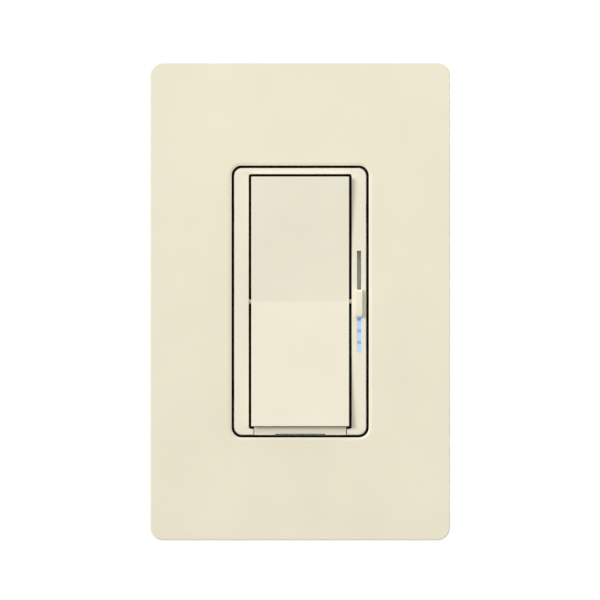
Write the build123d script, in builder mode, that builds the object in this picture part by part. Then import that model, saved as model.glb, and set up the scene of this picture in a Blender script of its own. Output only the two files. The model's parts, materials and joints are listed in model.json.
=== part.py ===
from build123d import *
import os
from math import radians, tan

# Wall-box light dimmer: a rocking paddle, a slide control over a light bar and a pull-out service tab
# stand in a rounded bezel, framed by a screwless wall plate. Behind the wall a moulded housing holds
# the power board.
#
# Frame: +Z is up, +X is right and -Y faces the room. The origin is on the wall plane, halfway between
# the two screws that hold the device to its box. A "height" is a distance from the wall plane towards
# the room, so a height of h lies at y = -h and a negative height is inside the wall.
#
# All lengths are in millimetres and all angles in degrees.

# ---------------------------------------------------------------------------------------------
# Driving dimensions
# ---------------------------------------------------------------------------------------------

# Fits
slide_clearance = 0.10
trunnion_clearance = 0.05
socket_clearance = 0.05
thread_clearance = 0.05
slot_clearance = 0.15
lead_clearance = 0.15

# Stack-up from the strap to the front of the bezel
strap_thickness = 1.3
insulator_thickness = 0.25
insulator_edge_gap = 0.05
board_thickness = 1.0
potentiometer_height = 2.2
paddle_undercut = 1.15
paddle_wall = 1.4

# Paddle
paddle_width = 24.54
paddle_length = 62.3
paddle_side_gap = 0.47
paddle_end_gap = 0.55
paddle_skirt = 1.0
paddle_face_angle = 3.3
paddle_edge_radius = 0.2
paddle_rib_thickness = 0.8
paddle_rib_depth = 1.2
paddle_rib_level = 23.0
trunnion_radius = 0.75
trunnion_drop = 1.5
trunnion_engagement = 0.55
plunger_radius = 1.3

# Bezel
bezel_face = 1.2
bezel_outer_wall = 0.98
bezel_end_margin = 1.6
bezel_corner = 1.95
bezel_edge_radius = 0.25
bezel_window_corner = 0.6
rail_thickness = 0.9
board_post_radius = 0.8
clip_width = 4.0
clip_hook = 0.6
clip_hook_height = 1.0
clip_boss_gap = 7.5

# Slide control
slot_width = 1.0
slot_length = 25.3
slot_inset = 0.09
channel_clearance = 0.06
link_thickness = 0.5
link_length = 6.2
link_leg_thickness = 0.32
link_leg_width = 3.0
link_foot_thickness = 0.4
link_foot_lift = 0.3
link_foot_clearance = 0.5
knob_width = 1.7
knob_crest_width = 1.5
knob_length = 6.7
knob_projection = 1.2
knob_upper_slope = 0.7
knob_lower_slope = 0.8
knob_edge_radius = 0.15
knob_level = -0.4
stem_width = 0.84
stem_length = 4.6

# Light bar and its lamps
bar_width = 1.4
bar_overhang = 0.5
bar_foot_length = 1.2
lamp_count = 8
lamp_pitch = 2.92
lamp_width = 0.8
lamp_length = 1.6
lamp_height = 0.6
lamp_gap = 0.2

# Slide potentiometer
potentiometer_width = 5.0
potentiometer_length = 34.4
potentiometer_gap = 0.47
potentiometer_wall = 0.5
track_width = 2.6
track_thickness = 0.15
wiper_length = 4.2
wiper_engagement = 1.2

# Control board
board_side_gap = 0.2
board_end_gap = 0.35
dome_x = -3.0
dome_level = 11.0
dome_radius = 3.6
dome_flange = 0.5
dome_key_radius = 2.0
dome_shoulder_radius = 2.7
dome_wall = 0.5
dome_height = 2.1
chip_size = 7.0
chip_height = 0.9
chip_edge = 0.15
chip_level = -22.0

# Service tab and the air-gap switch that it works
tab_shoulder = 1.29
tab_side_gap = 0.2
tab_paddle_gap = 0.2
tab_inset = 0.2
tab_seat_height = 3.5
tab_ramp_drop = 1.0
tab_lip = 0.4
tab_foot_margin = 0.05
nail_notch_width = 12.5
nail_notch_height = 0.3
nail_notch_depth = 2.2
tab_leg_x = 8.0
tab_leg_width = 3.0
tab_leg_thickness = 0.7
tab_leg_level = 0.85
actuator_height = 4.5
actuator_depth = 3.0
actuator_width = 21.0
actuator_length = 4.1
bridge_width = 15.0
bridge_length = 2.0
bridge_thickness = 0.6
bridge_corner = 0.6
airgap_post_x = 6.0
airgap_post_width = 2.4
airgap_post_thickness = 0.8
airgap_contact_radius = 1.3
airgap_contact_thickness = 0.6

# Mounting strap. The margins bring the box screws 83.3 apart and the plate screws 96.8 apart.
box_screw_margin = 6.75
plate_screw_margin = 6.75
strap_side_margin = 1.53
strap_end_margin = 4.4
strap_corner = 3.0
box_slot_length = 5.6
ground_lug_width = 9.0
ground_lug_depth = 9.0
ground_lug_x = -11.5
ground_lug_gap = 1.6

# Screws
machine_screw_radius = 1.75
machine_neck_radius = 1.5
machine_head_radius = 3.2
machine_head_height = 2.2
screw_slot_width = 0.9
screw_slot_depth = 1.0
cross_slot_width = 0.6
cross_slot_depth = 0.7
box_screw_length = 24.0
plate_screw_head_radius = 2.9
plate_screw_length = 12.0
retainer_size = 8.0
retainer_thickness = 0.45
retainer_corner = 1.0
housing_screw_radius = 1.2
housing_screw_head_radius = 2.2
housing_screw_length = 11.0
ground_head_flats = 6.4
ground_head_height = 2.4

# Wall plate
plate_corner = 3.2
plate_inner_corner = 1.2
plate_wall = 2.0
plate_draft = 0.5
plate_crown = 1.2
plate_proud = 0.3
plate_edge_radius = 0.25
plate_reveal = 0.475
plate_reveal_radius = 0.8
plate_collar = 1.2
plate_catch = 0.6
plate_catch_height = 0.8
plate_catch_width = 9.0

# Adapter plate that the wall plate snaps onto
adapter_thickness = 1.8
adapter_window_gap = 0.3
adapter_rim = 1.2
adapter_rim_height = 4.4
adapter_side_reach = 11.15
adapter_end_reach = 2.8
adapter_edge_gap = 0.75
adapter_corner = 2.0
adapter_lip = 0.45
adapter_lip_height = 0.8
adapter_lip_width = 8.0
adapter_screw_relief = 0.25
snap_x = 20.0
snap_level = 24.0

# Housing behind the wall
housing_wall = 1.8
housing_floor = 2.0
housing_depth = 30.0
housing_side_margin = 4.2
housing_end_margin = 1.6
housing_corner = 3.0
housing_inner_corner = 1.2
housing_edge_radius = 1.4
boss_radius = 2.6
boss_depth = 12.0
boss_inset_x = 3.7
boss_inset_z = 5.4
board_pad = 3.0
board_pad_level = 21.0
label_recess = 0.3
label_width = 26.0
label_length = 40.0
label_corner = 1.0

# Terminals
terminals = ((1, 14.0), (1, -14.0), (-1, -14.0))
terminal_depth = 10.0
alcove_width = 10.0
alcove_length = 10.4
alcove_sink = 5.2
alcove_wall = 1.5
terminal_block = 3.5
terminal_plate_width = 8.4
terminal_plate_thickness = 1.0
terminal_tail_width = 2.0
terminal_tail_overrun = 1.0
clamp_width = 8.0
clamp_thickness = 1.2
clamp_corner = 1.0
terminal_screw_radius = 2.08
terminal_neck_radius = 1.9
terminal_head_radius = 3.6
terminal_head_height = 1.8
terminal_screw_bite = 2.4

# Power board and the parts on it
power_board_thickness = 1.6
power_board_lift = 2.8
power_board_gap = 1.4
lead_radius = 0.35
lead_overrun = 1.2
choke_z = -15.5
choke_outer_radius = 9.2
choke_inner_radius = 5.0
choke_height = 8.0
choke_turns = 20
choke_edge_radius = 0.5
wire_thickness = 0.8
film_capacitor_size = (13.0, 6.5, 11.0)
film_capacitor_edge = 0.5
film_capacitor_at = (-5.0, -0.6)
film_capacitor_pitch = 10.0
can_capacitor_radius = 4.0
can_capacitor_height = 11.0
can_capacitor_edge = 0.6
can_capacitor_at = (7.0, 1.5)
can_capacitor_pitch = 3.5
fuse_radius = 4.2
fuse_height = 7.6
fuse_edge = 0.4
fuse_at = (1.5, 12.0)
fuse_pitch = 5.0
varistor_radius = 4.8
varistor_thickness = 3.4
varistor_edge = 1.2
varistor_gap = 0.72
varistor_level = 14.0
varistor_pitch = 5.0
coil_radius = 4.0
coil_height = 8.0
coil_edge = 0.8
coil_x = -5.0
coil_header_gap = 7.0
coil_pitch = 4.0
component_lift = 0.3
header_pins = 6
header_spacing = 2.54
header_inset = 2.85
header_body = 2.5
header_margin = 1.4
header_tip = 1.0
pin_size = 0.64

# Triac bolted to the back of the strap
triac_pad_thickness = 0.25
triac_pad_margin = 0.8
triac_width = 10.2
triac_length = 15.5
triac_body_length = 9.0
triac_body_height = 4.4
triac_tab_thickness = 1.3
triac_clip_gap = 0.64
triac_boss_gap = 5.0
triac_hole_inset = 3.0
triac_screw_radius = 1.45
triac_screw_head_radius = 2.5
triac_nut_flats = 5.5
triac_nut_height = 2.4
triac_screw_overrun = 0.6
triac_lead_pitch = 2.54
triac_lead_width = 0.8
triac_lead_thickness = 0.5
triac_lead_reach = 2.5
triac_lead_rise = 2.4

# ---------------------------------------------------------------------------------------------
# Places worked out from the driving dimensions
# ---------------------------------------------------------------------------------------------

# Heights in front of the wall
board_back = strap_thickness + insulator_thickness
board_front = board_back + board_thickness
potentiometer_front = board_front + potentiometer_height
paddle_underside = potentiometer_front + paddle_undercut
bezel_front = paddle_underside + paddle_wall
bezel_face_back = bezel_front - bezel_face
plate_front = bezel_front + plate_proud
link_front = bezel_face_back - slide_clearance
link_back = link_front - link_thickness
bar_front = link_back - slide_clearance
lamp_front = board_front + lamp_height
bar_back = lamp_front + lamp_gap
case_floor = board_front + potentiometer_wall
case_ceiling = potentiometer_front - potentiometer_wall
track_front = case_floor + track_thickness
foot_back = track_front + link_foot_lift
foot_front = foot_back + link_foot_thickness
rail_back = foot_front + link_foot_clearance
trunnion_height = bezel_front - trunnion_drop
knob_seat = bezel_front + slide_clearance
knob_front = bezel_front + knob_projection
dome_front = board_front + dome_height

# Half sizes of the paddle, its window and the bezel round them
paddle_half_width = paddle_width / 2
paddle_half_length = paddle_length / 2
window_half_width = paddle_half_width + paddle_side_gap
window_half_length = paddle_half_length + paddle_end_gap
channel_left = window_half_width + rail_thickness
leg_left = channel_left + channel_clearance
leg_right = leg_left + link_leg_thickness
bar_left = leg_right + channel_clearance
bar_right = bar_left + bar_width
channel_right = bar_right + channel_clearance
bezel_half_width = channel_right + bezel_outer_wall
bezel_half_length = window_half_length + bezel_end_margin
slot_x = bar_left + slot_inset + slot_width / 2
bar_half_length = slot_length / 2 + bar_overhang

# Strap, with the screws beyond the ends of the housing
housing_half_width = bezel_half_width + housing_side_margin
housing_half_length = bezel_half_length + housing_end_margin
box_screw_z = housing_half_length + box_screw_margin
plate_screw_z = box_screw_z + plate_screw_margin
strap_half_width = housing_half_width + strap_side_margin
strap_half_length = plate_screw_z + strap_end_margin
box_screws = [(0, end * box_screw_z) for end in (-1, 1)]
plate_screws = [(0, end * plate_screw_z) for end in (-1, 1)]

# Wall plate and adapter
opening_half_width = bezel_half_width + plate_reveal
opening_half_length = bezel_half_length + plate_reveal
opening_corner = bezel_corner + plate_reveal
adapter_front = strap_thickness + adapter_thickness
adapter_half_width = strap_half_width + adapter_side_reach + adapter_rim
adapter_half_length = strap_half_length + adapter_end_reach + adapter_rim
plate_inner_half_width = adapter_half_width + adapter_edge_gap
plate_inner_half_length = adapter_half_length + adapter_edge_gap
plate_half_width = plate_inner_half_width + plate_wall
plate_half_length = plate_inner_half_length + plate_wall
collar_back = adapter_front + slide_clearance
lip_back = adapter_rim_height - adapter_lip_height
catch_front = lip_back - slide_clearance

# Service tab
tab_half_width = window_half_width - tab_shoulder
notch_half_width = tab_half_width + tab_side_gap
tab_top = -(paddle_half_length + tab_paddle_gap)
tab_bottom = -(bezel_half_length - tab_foot_margin)
tab_front = bezel_front - tab_inset
tab_back = tab_seat_height + slide_clearance
tab_leg_z = tab_bottom + tab_leg_level
actuator_front = -actuator_height
actuator_back = actuator_front - actuator_depth
bridge_back = actuator_back - bridge_thickness

# Housing
cavity_half_width = housing_half_width - housing_wall
cavity_half_length = housing_half_length - housing_wall
boss_x = housing_half_width - boss_inset_x
boss_z = housing_half_length - boss_inset_z
board_pad_x = cavity_half_width - board_pad / 2
board_pads = [(side * board_pad_x, end * board_pad_level) for side in (-1, 1) for end in (-1, 1)]
bosses = [(side * boss_x, end * boss_z) for side in (-1, 1) for end in (-1, 1)]
power_board_back = -(housing_depth - housing_floor - power_board_lift)
power_board_front = power_board_back + power_board_thickness
component_seat = power_board_front + component_lift
lead_end = power_board_back - lead_overrun
actuator_bottom = -(cavity_half_length - slide_clearance)
actuator_top = actuator_bottom + actuator_length
bridge_z = actuator_top - bridge_length / 2
alcove_floor = housing_half_width - alcove_sink
terminal_plate_front = alcove_floor + terminal_plate_thickness
clamp_front = terminal_plate_front + clamp_thickness
tail_x = alcove_floor + terminal_plate_thickness / 2

# Electronics on the strap and the boards
board_half_width = channel_right - board_side_gap
board_half_length = window_half_length - board_end_gap
header_level = board_half_length - header_inset
header_places = [((i - (header_pins - 1) / 2) * header_spacing, header_level) for i in range(header_pins)]
lamp_places = [(slot_x, (i - (lamp_count - 1) / 2) * lamp_pitch) for i in range(lamp_count)]
potentiometer_x = paddle_half_width - paddle_skirt - potentiometer_gap - potentiometer_width / 2
triac_x = triac_width / 2 + triac_pad_margin + triac_clip_gap - bezel_half_width + bezel_outer_wall
triac_level = boss_z - triac_boss_gap - triac_length
triac_hole_z = triac_level + triac_length - triac_hole_inset
triac_places = [(triac_x + i * triac_lead_pitch, triac_level - triac_lead_reach) for i in (-1, 0, 1)]
triac_seat = -triac_pad_thickness
clip_level = boss_z - clip_boss_gap
clips = [(side, end * clip_level) for side in (-1, 1) for end in (-1, 1)]
clip_x = bezel_half_width - bezel_outer_wall / 2
varistor_at = (alcove_floor - terminal_block - varistor_gap - varistor_thickness / 2, varistor_level)
coil_at = (coil_x, header_level - coil_header_gap)


def facing(height):
    """Plane parallel to the wall at this height: x is right, y is up, and it extrudes to the room."""
    return Plane.XZ.offset(height)


def beside(side, distance):
    """Plane facing sideways, this far from the middle: x runs into the wall, y is side times Z."""
    return Plane(origin=(side * distance, 0, 0), x_dir=(0, 1, 0), z_dir=(side, 0, 0))


def lead_pair(place, pitch):
    """The places of two leads, side by side about a component's middle."""
    return [(place[0] - pitch / 2, place[1]), (place[0] + pitch / 2, place[1])]


# ---------------------------------------------------------------------------------------------
# Screws, each made with its head's seat at the origin and its shank along -Z
# ---------------------------------------------------------------------------------------------


def round_head_screw(shank_radius, head_radius, head_height, length, neck_radius, neck_length):
    """Machine screw with a domed head, a straight slot and a thinner neck under the head."""
    with BuildPart() as screw:
        with BuildSketch(Plane.XY):
            Circle(head_radius)
        extrude(amount=head_height)
        fillet(screw.edges().group_by(Axis.Z)[-1], head_height / 2)
        with BuildSketch(Plane.XY):
            Circle(neck_radius)
        extrude(amount=-neck_length)
        with BuildSketch(Plane.XY.offset(-neck_length)):
            Circle(shank_radius)
        extrude(amount=neck_length - length)
        chamfer(screw.edges().group_by(Axis.Z)[0], shank_radius / 4)
        with BuildSketch(Plane.XY.offset(head_height)):
            Rectangle(2 * head_radius, screw_slot_width)
        extrude(amount=-screw_slot_depth, mode=Mode.SUBTRACT)
    return screw.part


def flat_head_screw(shank_radius, head_radius, length):
    """Countersunk screw whose head's flat top is at the origin, with crossed slots."""
    with BuildPart() as screw:
        with BuildSketch(Plane.XZ):
            with BuildLine():
                Polyline(
                    (0, 0),
                    (head_radius, 0),
                    (shank_radius, -(head_radius - shank_radius)),
                    (shank_radius, -length + shank_radius),
                    (0, -length),
                    close=True,
                )
            make_face()
        revolve(axis=Axis.Z)
        with BuildSketch(Plane.XY):
            Rectangle(head_radius, cross_slot_width)
            Rectangle(cross_slot_width, head_radius)
        extrude(amount=-cross_slot_depth, mode=Mode.SUBTRACT)
    return screw.part


# ---------------------------------------------------------------------------------------------
# Mounting strap: the metal yoke that carries everything and spreads the heat
# ---------------------------------------------------------------------------------------------

header_window = (header_pins * header_spacing + header_margin, header_body + header_margin)
lug_top = -(housing_half_length + ground_lug_gap)
lug_bottom = lug_top - strap_thickness
ground_screw_height = -(ground_lug_depth + strap_thickness) / 2
ground_hole_radius = machine_screw_radius + thread_clearance

with BuildPart(facing(strap_thickness)) as mounting_strap:
    with BuildSketch(facing(0)):
        RectangleRounded(2 * strap_half_width, 2 * strap_half_length, strap_corner)
        with Locations(*box_screws):
            SlotOverall(box_slot_length, 2 * machine_screw_radius + 4 * slot_clearance, mode=Mode.SUBTRACT)
        with Locations(*plate_screws):
            Circle(machine_screw_radius + thread_clearance, mode=Mode.SUBTRACT)
        with Locations((0, header_level)):
            Rectangle(*header_window, mode=Mode.SUBTRACT)
        with Locations(*[(side * tab_leg_x, tab_leg_z) for side in (-1, 1)]):
            Rectangle(
                tab_leg_width + 2 * slot_clearance,
                tab_leg_thickness + 2 * slot_clearance,
                mode=Mode.SUBTRACT,
            )
        with Locations(*[(side * clip_x, level) for side, level in clips]):
            Rectangle(
                bezel_outer_wall + 2 * slot_clearance,
                clip_width + 2 * slot_clearance,
                mode=Mode.SUBTRACT,
            )
    extrude(amount=strap_thickness)
    with Locations(*bosses):
        CounterSinkHole(
            housing_screw_radius + slot_clearance,
            housing_screw_head_radius + slot_clearance,
            counter_sink_angle=90,
        )
    with Locations((triac_x, triac_hole_z)):
        CounterSinkHole(
            triac_screw_radius + slot_clearance,
            triac_screw_head_radius + slot_clearance,
            counter_sink_angle=90,
        )
    with BuildSketch(Plane.XY.offset(lug_bottom)):
        with Locations((ground_lug_x, ground_lug_depth / 2)):
            Rectangle(ground_lug_width, ground_lug_depth)
        with Locations((ground_lug_x, -ground_screw_height)):
            Circle(ground_hole_radius, mode=Mode.SUBTRACT)
    extrude(amount=strap_thickness)
    fillet(mounting_strap.edges().filter_by(Axis.Z).group_by(Axis.Y)[-1], strap_thickness)

with BuildPart() as ground_screw:
    with BuildSketch(Plane.XY.offset(lug_bottom)):
        with Locations((ground_lug_x, -ground_screw_height)):
            RegularPolygon(ground_head_flats / 2, 6, major_radius=False)
    extrude(amount=-ground_head_height)
    with BuildSketch(Plane.XY.offset(lug_bottom)):
        with Locations((ground_lug_x, -ground_screw_height)):
            Circle(machine_screw_radius)
    extrude(amount=strap_thickness + ground_lug_gap / 2)
    with BuildSketch(Plane.XY.offset(lug_bottom - ground_head_height)):
        with Locations((ground_lug_x, -ground_screw_height)):
            Rectangle(2 * ground_head_flats, screw_slot_width)
    extrude(amount=screw_slot_depth, mode=Mode.SUBTRACT)

box_screw = round_head_screw(
    machine_screw_radius,
    machine_head_radius,
    machine_head_height,
    box_screw_length,
    machine_neck_radius,
    strap_thickness + retainer_thickness,
)
with BuildPart(facing(strap_thickness)) as mounting_screws:
    with Locations(*box_screws):
        add(box_screw)

with BuildPart() as screw_retainers:
    with BuildSketch(facing(0)):
        with Locations(*box_screws):
            RectangleRounded(retainer_size, retainer_size, retainer_corner)
            Circle(machine_neck_radius + slot_clearance, mode=Mode.SUBTRACT)
    extrude(amount=-retainer_thickness)

# ---------------------------------------------------------------------------------------------
# Housing behind the wall
# ---------------------------------------------------------------------------------------------

block_half_length = alcove_length / 2 + alcove_wall
with BuildPart() as back_housing:
    with BuildSketch(facing(0)):
        RectangleRounded(2 * housing_half_width, 2 * housing_half_length, housing_corner)
    extrude(amount=-housing_depth)
    fillet(back_housing.faces().sort_by(Axis.Y)[-1].edges(), housing_edge_radius)
    with BuildSketch(facing(-housing_depth)):
        RectangleRounded(label_width, label_length, label_corner)
    extrude(amount=label_recess, mode=Mode.SUBTRACT)
    with BuildSketch(facing(0)):
        RectangleRounded(2 * cavity_half_width, 2 * cavity_half_length, housing_inner_corner)
    extrude(amount=housing_floor - housing_depth, mode=Mode.SUBTRACT)
    # Screw bosses reach the side walls through short webs
    with BuildSketch(facing(0)):
        with Locations(*bosses):
            Circle(boss_radius)
        with Locations(*[(x + (boss_inset_x / 2 if x > 0 else -boss_inset_x / 2), z) for x, z in bosses]):
            Rectangle(boss_inset_x, boss_radius)
    extrude(amount=-boss_depth)
    # Pads that hold the power board off the floor
    with BuildSketch(facing(housing_floor - housing_depth)):
        with Locations(*board_pads):
            Rectangle(board_pad, board_pad)
    extrude(amount=power_board_lift)
    # Terminal alcoves, each cut into a solid block that keeps the inside closed
    for side, level in terminals:
        with BuildSketch(beside(side, cavity_half_width)):
            with Locations((terminal_depth, side * level)):
                Rectangle(alcove_width + 2 * alcove_wall, 2 * block_half_length)
        extrude(amount=-(cavity_half_width - alcove_floor + terminal_block))
        with BuildSketch(beside(side, housing_half_width)):
            with Locations((terminal_depth, side * level)):
                Rectangle(alcove_width, alcove_length)
        extrude(amount=-alcove_sink, mode=Mode.SUBTRACT)
        with BuildSketch(beside(side, alcove_floor)):
            with Locations((terminal_depth, side * level)):
                Circle(terminal_screw_radius + thread_clearance)
        extrude(amount=-terminal_screw_bite - thread_clearance, mode=Mode.SUBTRACT)
        with BuildSketch(facing(-terminal_depth)):
            with Locations((side * tail_x, level)):
                Rectangle(
                    terminal_plate_thickness + 2 * slide_clearance,
                    terminal_tail_width + 2 * slide_clearance,
                )
        extrude(amount=-(alcove_width / 2 + alcove_wall), mode=Mode.SUBTRACT)
    with BuildSketch(facing(0)):
        with Locations(*bosses):
            Circle(housing_screw_radius + thread_clearance)
    extrude(amount=-boss_depth, mode=Mode.SUBTRACT)

housing_screw = flat_head_screw(housing_screw_radius, housing_screw_head_radius, housing_screw_length)
with BuildPart(facing(strap_thickness)) as housing_screws:
    with Locations(*bosses):
        add(housing_screw)

# ---------------------------------------------------------------------------------------------
# Terminals
# ---------------------------------------------------------------------------------------------

tail_end = -(power_board_back - terminal_tail_overrun)
with BuildPart() as terminal_plates:
    for side, level in terminals:
        with BuildSketch(beside(side, alcove_floor)):
            with Locations((terminal_depth, side * level)):
                Rectangle(terminal_plate_width, terminal_plate_width)
                Circle(terminal_screw_radius + slot_clearance, mode=Mode.SUBTRACT)
            with Locations((terminal_depth + terminal_plate_width / 2, side * level)):
                Rectangle(
                    tail_end - terminal_depth - terminal_plate_width / 2,
                    terminal_tail_width,
                    align=(Align.MIN, Align.CENTER),
                )
        extrude(amount=terminal_plate_thickness)

with BuildPart() as terminal_clamps:
    for side, level in terminals:
        with BuildSketch(beside(side, terminal_plate_front)):
            with Locations((terminal_depth, side * level)):
                RectangleRounded(clamp_width, clamp_width, clamp_corner)
                Circle(terminal_screw_radius + slot_clearance, mode=Mode.SUBTRACT)
        extrude(amount=clamp_thickness)

terminal_screw = round_head_screw(
    terminal_screw_radius,
    terminal_head_radius,
    terminal_head_height,
    clamp_thickness + terminal_plate_thickness + terminal_screw_bite,
    terminal_neck_radius,
    clamp_thickness,
)
with BuildPart() as terminal_screws:
    for side, level in terminals:
        with Locations(beside(side, clamp_front) * Location((terminal_depth, side * level, 0))):
            add(terminal_screw)

# ---------------------------------------------------------------------------------------------
# Power board and the parts on it
# ---------------------------------------------------------------------------------------------

power_half_width = cavity_half_width - power_board_gap
power_half_length = cavity_half_length - power_board_gap
choke_leads = [(side * choke_outer_radius, choke_z) for side in (-1, 1)]
varistor_leads = [(varistor_at[0], varistor_at[1] + end * varistor_pitch / 2) for end in (-1, 1)]
lead_holes = (
    lead_pair(film_capacitor_at, film_capacitor_pitch)
    + lead_pair(can_capacitor_at, can_capacitor_pitch)
    + lead_pair(fuse_at, fuse_pitch)
    + lead_pair(coil_at, coil_pitch)
    + varistor_leads
    + choke_leads
)
with BuildPart() as power_board:
    with BuildSketch(facing(power_board_back)):
        Rectangle(2 * power_half_width, 2 * power_half_length)
        with Locations(*lead_holes):
            Circle(lead_radius + lead_clearance, mode=Mode.SUBTRACT)
        with Locations(*triac_places, *header_places):
            Circle(triac_lead_width / 2 + lead_clearance, mode=Mode.SUBTRACT)
        with Locations(*[(side * airgap_post_x, bridge_z) for side in (-1, 1)]):
            Rectangle(
                airgap_post_width + 2 * lead_clearance,
                airgap_post_thickness + 2 * lead_clearance,
                mode=Mode.SUBTRACT,
            )
        with Locations(*[(side * tail_x, level) for side, level in terminals]):
            Rectangle(
                terminal_plate_thickness + 2 * lead_clearance,
                terminal_tail_width + 2 * lead_clearance,
                mode=Mode.SUBTRACT,
            )
    extrude(amount=power_board_thickness)

with BuildPart() as choke_core:
    with BuildSketch(facing(component_seat + wire_thickness)):
        with Locations((0, choke_z)):
            Circle(choke_outer_radius - wire_thickness)
            Circle(choke_inner_radius + wire_thickness, mode=Mode.SUBTRACT)
    extrude(amount=choke_height)
    fillet(choke_core.edges(), choke_edge_radius)

turn_middle = (choke_outer_radius + choke_inner_radius) / 2
turn_width = choke_outer_radius - choke_inner_radius
turn_height = choke_height + 2 * wire_thickness
turn_gap = 2 * socket_clearance
with BuildPart(facing(component_seat)) as choke_winding:
    with Locations((0, choke_z)):
        with PolarLocations(turn_middle, choke_turns):
            Box(
                turn_width,
                wire_thickness,
                turn_height,
                align=(Align.CENTER, Align.CENTER, Align.MIN),
            )
        with PolarLocations(turn_middle, choke_turns):
            with Locations((0, 0, wire_thickness - socket_clearance)):
                Box(
                    turn_width - 2 * wire_thickness + turn_gap,
                    2 * wire_thickness,
                    choke_height + turn_gap,
                    align=(Align.CENTER, Align.CENTER, Align.MIN),
                    mode=Mode.SUBTRACT,
                )
    with BuildSketch(facing(lead_end)):
        with Locations(*choke_leads):
            Circle(lead_radius)
    extrude(amount=component_seat - lead_end + wire_thickness / 2)


def boxed_component(place, size, edge, leads):
    """Block on the power board with rounded edges and two leads through the board."""
    with BuildPart() as component:
        with BuildSketch(facing(component_seat)):
            with Locations(place):
                Rectangle(size[0], size[1])
        extrude(amount=size[2])
        fillet(component.edges(), edge)
        with BuildSketch(facing(lead_end)):
            with Locations(*leads):
                Circle(lead_radius)
        extrude(amount=component_seat - lead_end)
    return component


def round_component(place, radius, height, edge, leads):
    """Upright can on the power board with rounded rims and two leads through the board."""
    with BuildPart() as component:
        with BuildSketch(facing(component_seat)):
            with Locations(place):
                Circle(radius)
        extrude(amount=height)
        fillet(component.edges(), edge)
        with BuildSketch(facing(lead_end)):
            with Locations(*leads):
                Circle(lead_radius)
        extrude(amount=component_seat - lead_end)
    return component


film_capacitor = boxed_component(
    film_capacitor_at,
    film_capacitor_size,
    film_capacitor_edge,
    lead_pair(film_capacitor_at, film_capacitor_pitch),
)
can_capacitor = round_component(
    can_capacitor_at,
    can_capacitor_radius,
    can_capacitor_height,
    can_capacitor_edge,
    lead_pair(can_capacitor_at, can_capacitor_pitch),
)
fuse = round_component(fuse_at, fuse_radius, fuse_height, fuse_edge, lead_pair(fuse_at, fuse_pitch))
supply_coil = round_component(coil_at, coil_radius, coil_height, coil_edge, lead_pair(coil_at, coil_pitch))

with BuildPart() as varistor:
    with BuildSketch(Plane.YZ.offset(varistor_at[0] - varistor_thickness / 2)):
        with Locations((-component_seat - varistor_radius, varistor_at[1])):
            Circle(varistor_radius)
    extrude(amount=varistor_thickness)
    fillet(varistor.edges(), varistor_edge)
    with BuildSketch(facing(lead_end)):
        with Locations(*varistor_leads):
            Circle(lead_radius)
    extrude(amount=component_seat + varistor_radius / 2 - lead_end)

with BuildPart() as board_header:
    with BuildSketch(facing(power_board_front)):
        with Locations((0, header_level)):
            Rectangle(header_pins * header_spacing, header_body)
    extrude(amount=header_body)
    with BuildSketch(facing(lead_end)):
        with Locations(*header_places):
            Rectangle(pin_size, pin_size)
    extrude(amount=board_front + header_tip - lead_end)

# ---------------------------------------------------------------------------------------------
# Triac, bolted to the strap through an insulating pad
# ---------------------------------------------------------------------------------------------

triac_middle = triac_level + triac_length / 2
triac_bolt = triac_screw_radius + slot_clearance
with BuildPart() as triac_pad:
    with BuildSketch(facing(0)):
        with Locations((triac_x, triac_middle)):
            Rectangle(triac_width + 2 * triac_pad_margin, triac_length + 2 * triac_pad_margin)
        with Locations((triac_x, triac_hole_z)):
            Circle(triac_bolt, mode=Mode.SUBTRACT)
    extrude(amount=-triac_pad_thickness)

with BuildPart() as triac:
    with BuildSketch(facing(triac_seat)):
        with Locations((triac_x, triac_middle)):
            Rectangle(triac_width, triac_length)
        with Locations((triac_x, triac_hole_z)):
            Circle(triac_bolt, mode=Mode.SUBTRACT)
    extrude(amount=-triac_tab_thickness)
    with BuildSketch(facing(triac_seat)):
        with Locations((triac_x, triac_level + triac_body_length / 2)):
            Rectangle(triac_width, triac_body_length)
    extrude(amount=-triac_body_height)
    with BuildSketch(facing(triac_seat - triac_lead_rise)):
        with Locations(*triac_places):
            Rectangle(
                triac_lead_width,
                triac_lead_reach + triac_lead_thickness,
                align=(Align.CENTER, Align.MIN),
            )
    extrude(amount=-triac_lead_thickness)
    with BuildSketch(facing(triac_seat - triac_lead_rise)):
        with Locations(*triac_places):
            Rectangle(triac_lead_width, triac_lead_thickness)
    extrude(amount=lead_end - triac_seat + triac_lead_rise)

triac_nut_seat = triac_seat - triac_tab_thickness
triac_bolt_screw = flat_head_screw(
    triac_screw_radius,
    triac_screw_head_radius,
    strap_thickness - triac_nut_seat + triac_nut_height + triac_screw_overrun,
)
with BuildPart(facing(strap_thickness)) as triac_screw:
    with Locations((triac_x, triac_hole_z)):
        add(triac_bolt_screw)

with BuildPart() as triac_nut:
    with BuildSketch(facing(triac_nut_seat)):
        with Locations((triac_x, triac_hole_z)):
            RegularPolygon(triac_nut_flats / 2, 6, major_radius=False, rotation=30)
            Circle(triac_screw_radius + thread_clearance, mode=Mode.SUBTRACT)
    extrude(amount=-triac_nut_height)

# ---------------------------------------------------------------------------------------------
# Insulator, control board and what stands on it
# ---------------------------------------------------------------------------------------------

with BuildPart() as board_insulator:
    with BuildSketch(facing(strap_thickness)):
        Rectangle(2 * (channel_right - insulator_edge_gap), 2 * (window_half_length - insulator_edge_gap))
        with Locations((0, header_level)):
            Rectangle(*header_window, mode=Mode.SUBTRACT)
    extrude(amount=insulator_thickness)

with BuildPart() as control_board:
    with BuildSketch(facing(board_back)):
        Rectangle(2 * board_half_width, 2 * board_half_length)
        with Locations(*header_places):
            Circle(pin_size, mode=Mode.SUBTRACT)
    extrude(amount=board_thickness)

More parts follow.
